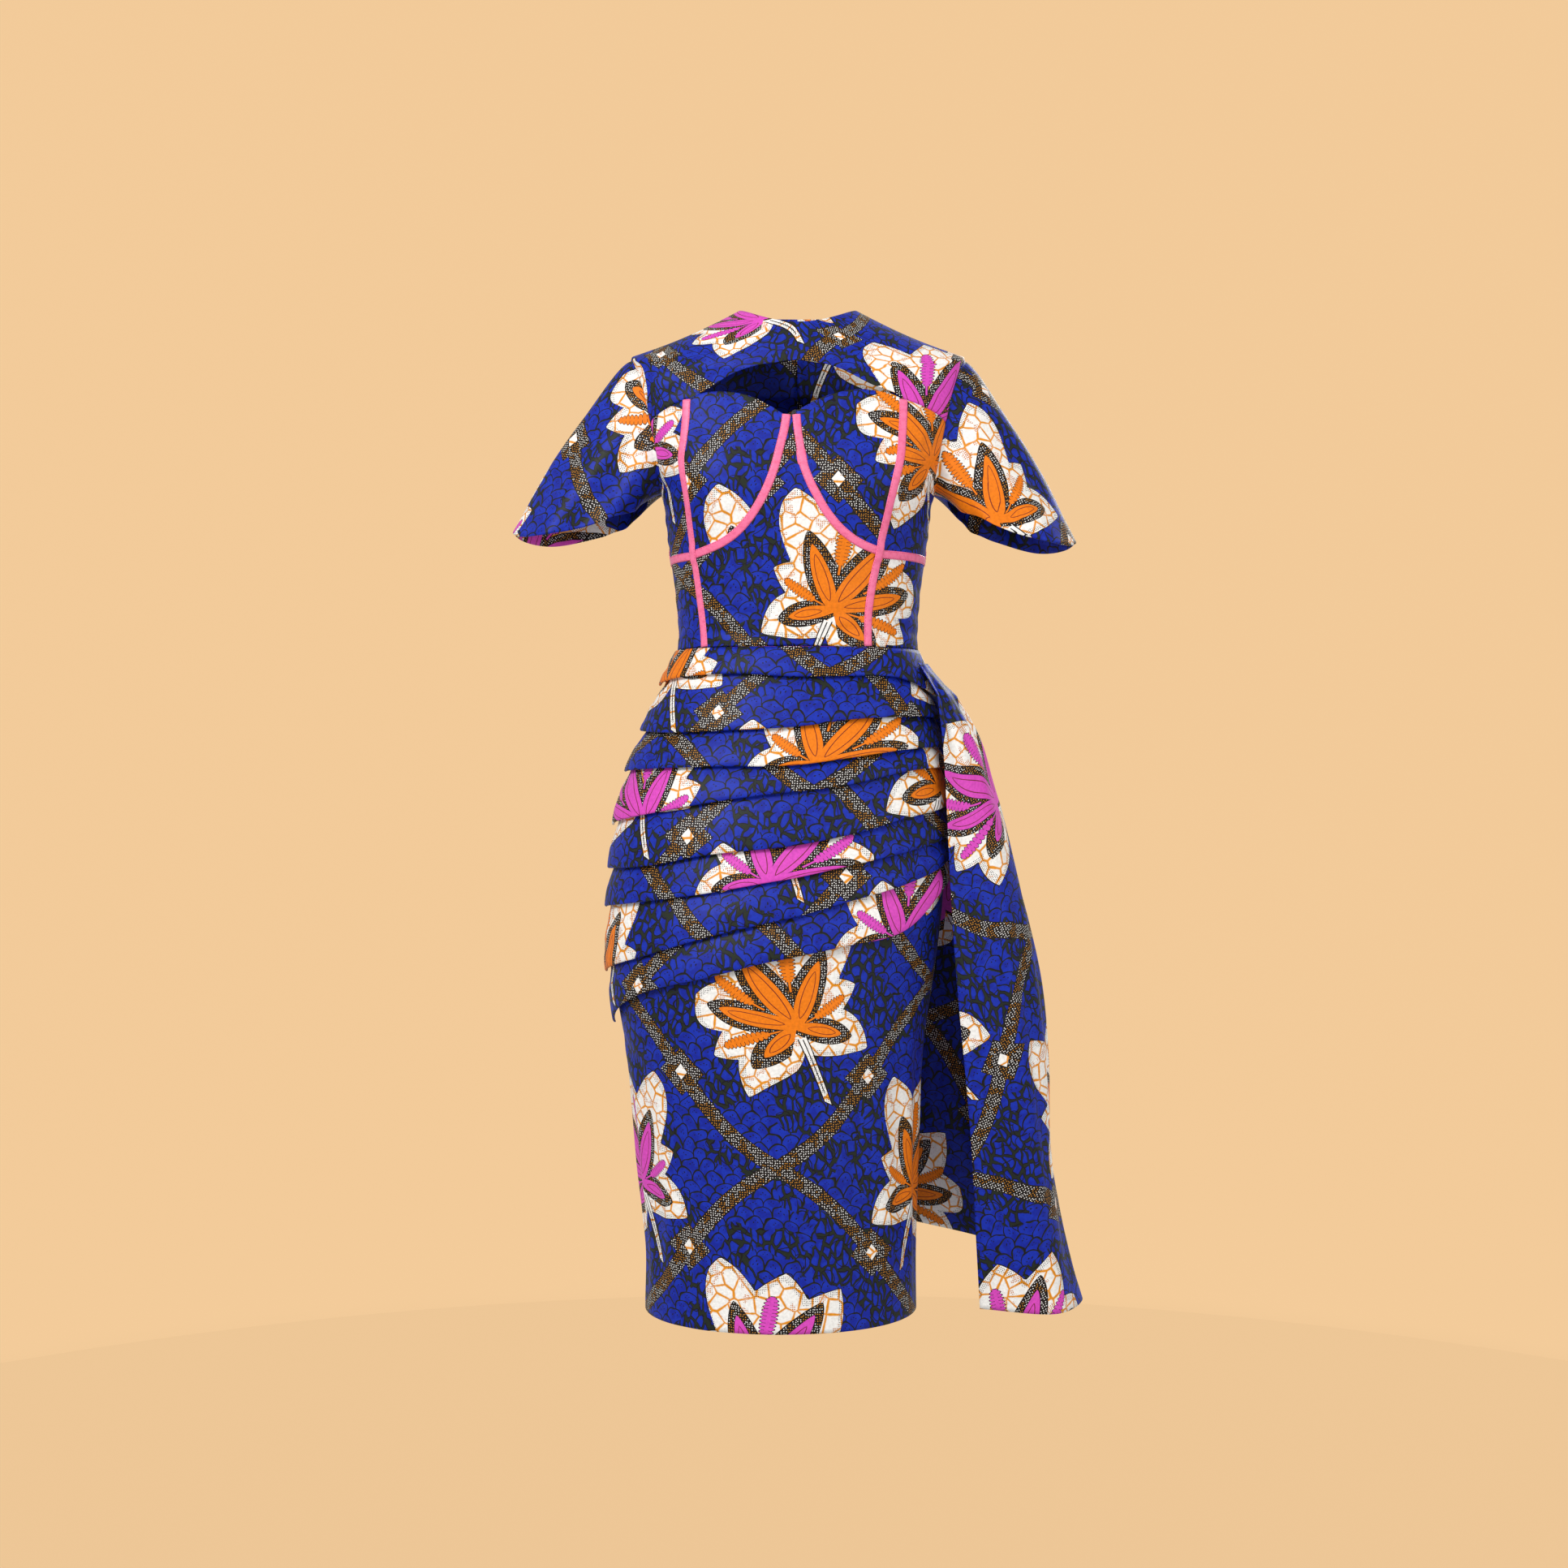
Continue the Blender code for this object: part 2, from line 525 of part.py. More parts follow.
def add_tape(collection, look, name, path):
    rows = tape_strip(path)
    return add_cloth(collection, name, [rows[::-1]], look, TAPE_WALL)


def build_tapes(collection, look):
    clear = np.degrees((TAPE_WIDTH / 2 + TAPE_END_GAP) / TAPE_RADIUS)
    waist_end = WAIST + TAPE_LIFT
    for side, word in ((-1, "left"), (1, "right")):
        upright = [(tape_angle(h, side), h) for h in spaced(waist_end, TAPE_TOP - 0.0015, 20)]
        add_tape(collection, look, f"tape_upright_{word}", upright)

        near = abs(tape_angle(CUP_END, side)) - clear
        first = CUP_TAPE_JOIN[side]
        cup = list(CUP_TAPE_TOPS[side])
        for t in (0, 0.03, 0.08, 0.13, 0.19, 0.26, 0.34, 0.43, 0.53, 0.64, 0.76, 0.88, 1):
            angle = blend(first, side * near, t)
            cup.append((angle, float(smooth(CUP_CURVE, angle, 1))))
        add_tape(collection, look, f"tape_cup_{word}", cup)

        far = abs(tape_angle(SIDE_TAPE_LEVEL, side)) + clear
        cross = [(side * a, SIDE_TAPE_LEVEL) for a in spaced(far, 90 - TAPE_STOP, 6)]
        add_tape(collection, look, f"tape_side_{word}", cross)

        back = []
        for a in spaced(BACK_TAPE_START, 180 - TAPE_STOP, 13):
            climb = (a - 90) / 90
            back.append((side * a, SIDE_TAPE_LEVEL + BACK_TAPE_RISE * climb**0.7))
        add_tape(collection, look, f"tape_back_{word}", back)

        rear = [(side * BACK_TAPE_ANGLE, h) for h in spaced(waist_end, UNDERARM - 0.004, 13)]
        add_tape(collection, look, f"tape_back_upright_{word}", rear)


# ---- drape, skirt and cascade ---------------------------------------------------

def fold_height(fold, angle):
    """Height of a fold's lower edge at an angle; fold 0 is the waist."""
    if fold == 0:
        return WAIST - 0.0008
    table = np.array(list(zip(DRAPE_ANGLES, DRAPE_FOLDS[fold - 1])))
    return float(smooth(table, angle, 1))


def drape_section(angle):
    """(height, lift) down the pleated drape at one angle, one S-turn at each fold."""
    section = []
    folds = len(DRAPE_FOLDS)
    for fold in range(1, folds + 1):
        top = fold_height(fold - 1, angle)
        low = fold_height(fold, angle)
        tuck = min(DRAPE_TUCK, TUCK_SHARE * (top - low))
        if fold > 1:
            section.append((top + tuck, back))
            section.append((top + tuck, min(DRAPE_INNER, back - DRAPE_TURN)))
        else:
            section.append((top, DRAPE_INNER))
        section.append((blend(top, low, 0.10), DRAPE_INNER + DRAPE_EASE))
        outer = DRAPE_FIRST if fold == 1 else DRAPE_OUTER
        back = outer - (DRAPE_OUTER - DRAPE_RETURN)
        swell = DRAPE_SWELL * outer / DRAPE_OUTER
        section.append((blend(top, low, 0.55), blend(DRAPE_INNER, outer, 0.55) + swell))
        section.append((low, outer))
        if fold < folds:
            section.append((low, back))
    return section


def build_drape(collection, look):
    angles = spaced(DRAPE_ANGLES[0], DRAPE_ANGLES[-1], 28)
    columns = []
    for angle in angles:
        columns.append([on_form(angle, h, lift) for h, lift in drape_section(angle)])
    rows = [list(row) for row in zip(*columns)][::-1]
    return add_cloth(collection, "drape", [rows], look, DRAPE_WALL)


def build_skirt(collection, look, name, first, last):
    rows = []
    for height in SKIRT_ROWS:
        gap = gap_angle(height)
        rows.append([on_form(a, height) for a in spaced(first + gap, last - gap, 19)])
    return add_cloth(collection, name, [rows], look, CLOTH)


def cascade_top():
    """Gathered top edge of the cascade, close against the drape and the skirt."""
    row = []
    count = 25
    for i in range(count):
        t = i / (count - 1)
        angle = blend(*CASCADE_TOP_ANGLES, t)
        gather = GATHER_DEPTH * (1 - cos(2 * pi * CASCADE_GATHERS * t)) / 2
        lift = blend(*CASCADE_TOP_LIFT, t) + gather
        row.append(on_form(angle, CASCADE_TOP_HEIGHT, lift))
    return row


def cascade_section(line):
    """Smooth plan curve through the five named points of one cascade section."""
    plan = line[1:11].reshape(5, 2)
    along = np.concatenate(([0], np.cumsum(np.linalg.norm(np.diff(plan, axis=0), axis=1))))
    table = np.column_stack((along / along[-1], plan))
    row = []
    for t in spaced(0, 1, 25):
        x = smooth(table, t, 1)
        y = smooth(table, t, 2)
        fade = max(0.0, 1 - (CASCADE[0, 0] - line[0]) / GATHER_REACH)
        ripple = GATHER_DEPTH * cos(2 * pi * CASCADE_GATHERS * t) * fade
        climb = max(0.0, (t - HEM_LEVEL_TO) / (1 - HEM_LEVEL_TO))
        row.append(np.array((x + ripple, y, blend(line[0], line[11], climb))))
    return row


def build_cascade(collection, look):
    heights = CASCADE[:, 0]
    index = np.column_stack((np.arange(len(CASCADE)), CASCADE))
    rows = [cascade_top()]
    for step in spaced(0, len(heights) - 1, 19):
        line = np.array([smooth(index, step, c) for c in range(1, 13)])
        rows.append(cascade_section(line))
    return add_cloth(collection, "cascade", [rows[::-1]], look, CLOTH)


# ---- the dress -------------------------------------------------------------------

def build_dress():
    for old in list(bpy.data.objects):
        bpy.data.objects.remove(old, do_unlink=True)
    collection = bpy.data.collections.new("ankara_dress")
    bpy.context.scene.collection.children.link(collection)
    print_cloth = material("Wax print cotton", BLUE_PRINT, 0.55)
    skirt_cloth = material("Wax print cotton, skirt", BLUE_PRINT_DEEP, 0.55)
    pink = material("Pink bias tape", TAPE_PINK, 0.50)

    build_yoke(collection, print_cloth)
    build_side_bust(collection, print_cloth, "side_bust_left", -1)
    build_side_bust(collection, print_cloth, "side_bust_right", 1)
    build_cup(collection, print_cloth, "cup_left", -1)
    build_cup(collection, print_cloth, "cup_right", 1)
    build_midriff(collection, print_cloth)
    build_side_front(collection, print_cloth, "side_front_left", -1)
    build_side_front(collection, print_cloth, "side_front_right", 1)
    build_back(collection, print_cloth, "back_left", -1)
    build_back(collection, print_cloth, "back_right", 1)
    for name, shape in SLEEVES.items():
        build_sleeve(collection, print_cloth, name, *shape)
    build_tapes(collection, pink)
    build_drape(collection, print_cloth)
    build_skirt(collection, skirt_cloth, "skirt_front", -90, 90)
    build_skirt(collection, skirt_cloth, "skirt_back", 90, 270)
    build_cascade(collection, print_cloth)


build_dress()
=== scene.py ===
from functools import partial
from math import pi, sin, cos, radians

import bpy
import numpy as np
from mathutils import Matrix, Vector


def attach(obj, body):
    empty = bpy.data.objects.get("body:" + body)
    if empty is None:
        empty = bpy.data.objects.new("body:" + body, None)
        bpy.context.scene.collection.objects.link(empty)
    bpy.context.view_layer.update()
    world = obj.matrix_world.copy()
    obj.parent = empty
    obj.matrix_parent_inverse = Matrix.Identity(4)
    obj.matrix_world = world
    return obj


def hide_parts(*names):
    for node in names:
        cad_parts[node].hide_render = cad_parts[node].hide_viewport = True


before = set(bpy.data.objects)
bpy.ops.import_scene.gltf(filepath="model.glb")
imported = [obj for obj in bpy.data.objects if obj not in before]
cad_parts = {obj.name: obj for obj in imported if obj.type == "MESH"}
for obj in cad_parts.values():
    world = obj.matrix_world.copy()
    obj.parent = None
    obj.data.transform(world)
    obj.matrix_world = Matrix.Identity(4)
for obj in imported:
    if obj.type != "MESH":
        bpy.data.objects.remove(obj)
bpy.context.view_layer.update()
scene = bpy.context.scene

# the body inside the dress, in metres, with the same sizes as the solids
form = {
    "cloth": 0.0015, "wall": 0.0009,  # outer face of a panel above the body, and the thickness drawn
    "seamTurn": (0.0010, 0.0022),  # how deep cloth turns in at a seam, and how near to it
    # how fast a crease dies away at its ends; then its side ridge's distance, width and height, as shares of its own
    "creaseEnds": 0.7, "creaseRidge": (1.6, 0.8, 0.35),
    "waist": -0.357, "hem": -1.047, "shoulder": -0.047,
    "neckHalfWidth": 0.0625, "neckDepth": 0.060, "neckDrop": 0.0225, "neckRise": 0.008,
    "yokeBow": 0.004, "shoulderSag": 0.0030, "shoulderDip": 0.026, "dipStart": -0.160,
    "bustAngle": 38.0, "bustHeight": -0.190, "bustFullness": 0.016, "bustLean": (0.3, 0.95),
    "bustSpread": (26.0, 0.050),
    "degree": 0.0022,  # one degree of turn, in metres round the body
    "neckRows": 30,  # rows of points between the shoulder and the neck
    # height, centre x, half width, front depth, back depth, squareness
    "sections": np.array([
        (-1.047, -0.0180, 0.1415, 0.117, 0.117, 2.10), (-0.985, -0.0176, 0.1410, 0.117, 0.118, 2.10),
        (-0.947, -0.0189, 0.1433, 0.117, 0.118, 2.10), (-0.904, -0.0208, 0.1465, 0.117, 0.119, 2.10),
        (-0.847, -0.0225, 0.1500, 0.117, 0.121, 2.10), (-0.800, -0.0240, 0.1530, 0.117, 0.123, 2.10),
        (-0.755, -0.0250, 0.1580, 0.118, 0.125, 2.15), (-0.700, -0.0255, 0.1670, 0.118, 0.127, 2.15),
        (-0.600, -0.0197, 0.1720, 0.116, 0.127, 2.20), (-0.500, -0.0140, 0.1640, 0.108, 0.118, 2.20),
        (-0.430, -0.0045, 0.1475, 0.098, 0.104, 2.20), (-0.354, 0.0000, 0.1253, 0.089, 0.090, 2.20),
        (-0.299, 0.0000, 0.1276, 0.093, 0.094, 2.20), (-0.240, 0.0000, 0.1356, 0.098, 0.100, 2.20),
        (-0.194, 0.0000, 0.1420, 0.100, 0.104, 2.30), (-0.160, 0.0000, 0.1550, 0.098, 0.103, 2.40),
        (-0.120, 0.0000, 0.1660, 0.092, 0.098, 2.50), (-0.080, 0.0000, 0.1720, 0.083, 0.090, 2.60),
        (-0.047, 0.0000, 0.1746, 0.072, 0.078, 2.60)]),
}

armhole = {"centre": -0.1205, "halfHeight": 0.0735, "halfAngle": 26.0, "power": 2.4, "foot": -0.194, "rows": 90}
neckHeights = np.linspace(form["shoulder"], 0, form["neckRows"])[1:]

# seam lines of the bodice front: angle from centre front in degrees, height in metres
seams = {
    "arch": np.array([
        (-33.0, -0.0950), (-30.0, -0.0885), (-24.0, -0.0760), (-17.0, -0.0572), (-10.3, -0.0438),
        (-5.3, -0.0400), (-1.0, -0.0372), (3.0, -0.0385), (8.0, -0.0440), (12.3, -0.0553),
        (19.0, -0.0724), (25.0, -0.0815), (30.0, -0.0885), (33.0, -0.0950)]),
    "sweetheart": np.array([
        (-35.5, -0.0950), (-28.0, -0.0870), (-21.3, -0.0850), (-14.0, -0.0886), (-10.0, -0.0943),
        (-6.0, -0.1057), (-1.3, -0.1165), (1.0, -0.1057), (4.0, -0.0953), (9.0, -0.0860),
        (16.3, -0.0815), (20.7, -0.0838), (27.0, -0.0880), (32.5, -0.0950)]),
    "cupCurve": np.array([
        (-64.0, -0.2630), (-54.3, -0.2627), (-46.7, -0.2601), (-35.3, -0.2544), (-24.7, -0.2429),
        (-15.7, -0.2215), (-9.3, -0.1953), (-4.9, -0.1639), (-2.6, -0.1300), (-1.3, -0.1200),
        (-0.2, -0.1300), (0.6, -0.1639), (3.7, -0.1953), (9.3, -0.2220), (17.0, -0.2420),
        (27.3, -0.2553), (33.3, -0.2590), (44.0, -0.2620), (56.7, -0.2629)]),
    # height, angle on the left of the picture plane, angle on the right
    "upright": np.array([
        (-0.360, -47.3, 32.0), (-0.344, -48.7, 32.0), (-0.318, -49.9, 32.2), (-0.292, -50.9, 33.6),
        (-0.267, -51.5, 35.3), (-0.248, -51.0, 35.9), (-0.219, -49.8, 36.8), (-0.192, -48.4, 37.2),
        (-0.167, -45.3, 36.6), (-0.151, -42.3, 35.9), (-0.126, -39.0, 34.8), (-0.095, -36.3, 33.3)]),
    "cupStations": {
        -1: (-44.0, -37.0, -30.0, -24.0, -18.5, -14.0, -10.5, -7.6, -5.4, -3.6),
        1: (31.0, 27.0, 22.5, 18.0, 13.5, 9.2, 5.6, 3.0, 1.2, 0.2)},
    "sideLevel": -0.263, "cupEnd": -0.262, "tapeTop": -0.095, "cupPeak": -1.3,
}


# the shape functions take whole arrays of points at once

def smooth(rows, at, column):
    # reads a column of a table along its first, by a curve through its rows
    x, y = rows[:, 0], rows[:, column]
    step = np.diff(x)
    slope = np.diff(y) / step
    lean = np.concatenate(([slope[0]],
                           (slope[:-1] * step[1:] + slope[1:] * step[:-1]) / (step[1:] + step[:-1]),
                           [slope[-1]]))
    at = np.clip(np.asarray(at, float), x[0], x[-1])
    i = np.clip(np.searchsorted(x, at) - 1, 0, len(x) - 2)
    t = (at - x[i]) / step[i]
    rise = y[i] * (2 * t**3 - 3 * t**2 + 1) + y[i + 1] * (3 * t**2 - 2 * t**3)
    return rise + (lean[i] * (t**3 - 2 * t**2 + t) + lean[i + 1] * (t**3 - t**2)) * step[i]


def unit(vectors):
    return vectors / np.maximum(np.linalg.norm(vectors, axis=-1, keepdims=True), 1e-9)


def lengthAlong(points, axis=0):
    # distance of each point from the first one of its row or column
    steps = np.linalg.norm(np.diff(points, axis=axis), axis=-1)
    return np.insert(np.cumsum(steps, axis=axis), 0, 0.0, axis=axis)


def onBody(angle, height):
    # point on the body: angle in degrees from centre front towards +X, height in metres
    angle, height = np.broadcast_arrays(np.asarray(angle, float), np.asarray(height, float))
    level = np.minimum(height, form["shoulder"])
    centre, half, front, back, power = (smooth(form["sections"], level, c) for c in range(1, 6))
    s, c = np.sin(np.radians(angle)), np.cos(np.radians(angle))
    x = centre + half * np.sign(s) * np.abs(s) ** (2 / power)
    y = -np.where(c > 0, front, back) * np.sign(c) * np.abs(c) ** (2 / power)
    dipShare = (level - form["dipStart"]) / (form["shoulder"] - form["dipStart"])
    z = level - form["shoulderDip"] * np.maximum(0.0, dipShare) ** 1.5 * np.abs(c)
    across = (np.abs(angle) - form["bustAngle"]) / form["bustSpread"][0]
    upward = (level - form["bustHeight"]) / form["bustSpread"][1]
    bust = form["bustFullness"] * np.exp(-across**2 - upward**2)
    x = x + form["bustLean"][0] * bust * np.sign(angle)
    y = y - form["bustLean"][1] * bust
    r = np.maximum(0.0, (height - form["shoulder"]) / -form["shoulder"])
    neckZ = np.where(c > 0, -form["neckDrop"], form["neckRise"]) * c * c
    x = x + (form["neckHalfWidth"] * s - x) * r
    y = y + (-form["neckDepth"] * c - y) * r - np.sign(c) * form["yokeBow"] * np.sin(pi * r) * np.abs(c)
    z = z + (neckZ - z) * r - form["shoulderSag"] * np.sin(pi * r)
    return np.stack((x, y, z), axis=-1)


def offBody(angle, height, lift):
    # a point moved straight out from the body; its slope is read half a degree and 0.8 mm to either side
    angle, height = np.broadcast_arrays(np.asarray(angle, float), np.asarray(height, float))
    turn = onBody(angle + 0.5, height) - onBody(angle - 0.5, height)
    low, high = np.maximum(height - 0.0008, form["hem"]), np.minimum(height + 0.0008, 0.0)
    outward = unit(np.cross(turn, onBody(angle, high) - onBody(angle, low)))
    return onBody(angle, height) + outward * np.asarray(lift)[..., None]


def bodyTable():
    # distance round the body from centre front, and up it from the waist, at every 6 mm and every degree
    heights = np.concatenate((np.arange(form["hem"], -0.0001, 0.006), [0.0]))
    angles = np.arange(-182.0, 273.0, 1.0)
    grid = onBody(angles[None, :], heights[:, None])
    around, up = lengthAlong(grid, 1), lengthAlong(grid)
    around -= around[:, angles == 0]
    up += form["waist"] - up[[np.argmin(np.abs(heights - form["waist"]))]]
    return heights, angles, np.stack((around, up), axis=-1)


bodyHeights, bodyAngles, bodyFlat = bodyTable()


def readTable(table, i, j):
    # pairs of a table at rows and columns that lie between its own
    i, j = np.broadcast_arrays(i, j)
    i0, j0 = np.minimum(i.astype(int), table.shape[0] - 2), np.minimum(j.astype(int), table.shape[1] - 2)
    f, g = (i - i0)[..., None], (j - j0)[..., None]
    return ((table[i0, j0] * (1 - g) + table[i0, j0 + 1] * g) * (1 - f)
            + (table[i0 + 1, j0] * (1 - g) + table[i0 + 1, j0 + 1] * g) * f)


def clothPlace(angle, height, middle=0.0):
    # flat cloth coordinates of a point on the body, in metres; middle is the angle that they start from
    row = np.interp(height, bodyHeights, np.arange(len(bodyHeights)))
    place = readTable(bodyFlat, row, np.interp(angle, bodyAngles, np.arange(len(bodyAngles))))
    if middle:
        place[..., 0] -= clothPlace(middle, height)[..., 0]
    return place


def gridPlace(points, refColumn=0, refRow=0):
    # flat cloth coordinates of a free-standing grid of points
    along, up = lengthAlong(points, 1), lengthAlong(points)
    return np.stack((along - along[:, [refColumn]], up - up[[refRow]]), axis=-1)


def easeFlat(points, place, step=6, rounds=900):
    # eases flat coordinates until the distances in them match the curved cloth's
    rows = np.unique(np.append(np.arange(0, points.shape[0], step), points.shape[0] - 1))
    columns = np.unique(np.append(np.arange(0, points.shape[1], step), points.shape[1] - 1))
    coarse, flat = points[np.ix_(rows, columns)], place[np.ix_(rows, columns)].copy()
    pairs = [((slice(None), slice(None, -1)), (slice(None), slice(1, None))),
             ((slice(None, -1), slice(None)), (slice(1, None), slice(None))),
             ((slice(None, -1), slice(None, -1)), (slice(1, None), slice(1, None))),
             ((slice(None, -1), slice(1, None)), (slice(1, None), slice(None, -1)))]
    lengths = [np.linalg.norm(coarse[b] - coarse[a], axis=-1) for a, b in pairs]
    for _ in range(rounds):
        push = np.zeros(flat.shape)
        for (a, b), length in zip(pairs, lengths):
            run = flat[b] - flat[a]
            gap = run * (1 - length / np.maximum(np.linalg.norm(run, axis=-1), 1e-6))[..., None] / 8
            push[a] += gap
            push[b] -= gap
        flat += push
    i = np.interp(np.arange(points.shape[0]), rows, np.arange(len(rows)))[:, None]
    j = np.interp(np.arange(points.shape[1]), columns, np.arange(len(columns)))
    return readTable(flat, i, j)


def creaseLift(place, creases):
    # each crease: u0, v0, u1, v1, depth, width in mm; a trough, with a negative depth, has a low ridge beside it
    lift = np.zeros(place.shape[:-1])
    ridgeAt, ridgeWidth, ridgeHeight = form["creaseRidge"]
    for u0, v0, u1, v1, depth, width in creases:
        start, end = np.array((u0, v0)) / 1000, np.array((u1, v1)) / 1000
        run = end - start
        t = ((place - start) @ run) / (run @ run)
        off = place - start - np.clip(t, 0, 1)[..., None] * run
        away = np.linalg.norm(off, axis=-1) / (width / 1000)
        side = np.sign(off[..., 0] * run[1] - off[..., 1] * run[0])
        fade = np.sin(pi * np.clip(t, 0.0, 1.0)) ** form["creaseEnds"]
        ridge = np.exp(-((away - ridgeAt) / ridgeWidth) ** 2) * ridgeHeight * (side > 0)
        lift += depth / 1000 * fade * (np.exp(-away**2) - ridge)
    return lift


def clothMesh(name, grid, place, look, wall=form["wall"]):
    # the outer face of the cloth as a grid of points, each with its place on the print
    index = np.arange(grid.shape[0] * grid.shape[1]).reshape(grid.shape[:2])
    corners = np.stack((index[:-1, :-1], index[:-1, 1:], index[1:, 1:], index[1:, :-1]), axis=-1).reshape(-1, 4)
    spots = grid.reshape(-1, 3)
    _, first, same = np.unique(np.round(spots, 6), axis=0, return_index=True, return_inverse=True)
    welded = same.reshape(-1)[corners]
    whole = np.array([len(set(quad)) == 4 for quad in welded.tolist()])
    mesh = bpy.data.meshes.new(name)
    mesh.from_pydata(spots[first].tolist(), [], welded[whole].tolist())
    layer = mesh.uv_layers.new(name="print")
    layer.data.foreach_set("uv", place.reshape(-1, 2)[corners[whole].ravel()].astype(np.float32).ravel())
    mesh.materials.append(look)
    mesh.shade_smooth()
    piece = bpy.data.objects.new(name, mesh)
    scene.collection.objects.link(piece)
    shell = piece.modifiers.new("Cloth wall", "SOLIDIFY")
    shell.thickness = wall
    shell.offset = -1.0
    return piece


def toPrint(place, turn, u, v, x, z):
    # turns the cloth by some degrees and lays its spot u, v on the print's spot x, z, all in mm
    sine, cosine = sin(radians(turn)), cos(radians(turn))
    across, up = place[..., 0] * 1000 - u, place[..., 1] * 1000 - v
    return np.stack((across * cosine - up * sine + x, across * sine + up * cosine + z), axis=-1) / 1000


def panel(name, patch, settings):
    # patch: angles, heights and the distances to the panel's seams, at which the cloth turns in
    angle, height, edges = patch
    place = clothPlace(angle, height, settings.get("middle", 0.0))
    lift = form["cloth"] + creaseLift(place, settings["creases"])
    depth, reach = form["seamTurn"]
    for away in edges:
        lift -= depth * np.exp(-(np.maximum(away, 0) / reach) ** 2)
    return clothMesh(name + "_cloth", offBody(angle, height, lift), toPrint(place, *settings["placing"]), cloth)


def forSide(side, angle, height, *edges):
    # a patch worked out for the right, turned over for the left
    angle, height, *edges = np.broadcast_arrays(angle, height, *edges)
    if side < 0:
        angle, height, edges = -angle[:, ::-1], height[:, ::-1], [away[:, ::-1] for away in edges]
    return angle, height, edges


def armholeReach(height):
    t = np.clip(np.abs(height - armhole["centre"]) / armhole["halfHeight"], 0, 1)
    return armhole["halfAngle"] * (1 - t ** armhole["power"]) ** (1 / armhole["power"])


def armholeHeights():
    # heights up one edge of the armhole, closer together at its top and foot
    up = -np.cos(np.linspace(0, pi, armhole["rows"]))
    return armhole["centre"] + armhole["halfHeight"] * np.sign(up) * np.abs(up) ** (2 / armhole["power"])


def uprightAngle(height, side):
    return smooth(seams["upright"], height, 1 if side < 0 else 2)


# the wax print: a dotted lattice with a leaf in each cell, on a blue ground

def linear(code):
    channels = [int(code[i:i + 2], 16) / 255 for i in (1, 3, 5)]
    return (*[c / 12.92 if c <= 0.04045 else ((c + 0.055) / 1.055) ** 2.4 for c in channels], 1.0)


mathSigns = {"+": "ADD", "-": "SUBTRACT", "*": "MULTIPLY", "/": "DIVIDE"}


def addNode(tree, kind, *inputs, out=0, **settings):
    # inputs in order, or one dictionary of them; a sign or a word in capitals is a Math operation
    kind = mathSigns.get(kind, kind)
    if kind.isupper():
        kind, settings = "Math", {"operation": kind}
    node = tree.nodes.new("ShaderNode" + kind)
    for name, value in settings.items():
        setattr(node, name, value)
    byName = inputs and isinstance(inputs[0], dict)
    for key, value in (inputs[0].items() if byName else enumerate(inputs)):
        if isinstance(value, bpy.types.NodeSocket):
            tree.links.new(value, node.inputs[key])
        else:
            node.inputs[key].default_value = value
    return node.outputs[out] if node.outputs else node


def newLook(name):
    look = bpy.data.materials.new(name)
    look.use_nodes = True
    look.node_tree.nodes.clear()
    return look, partial(addNode, look.node_tree)


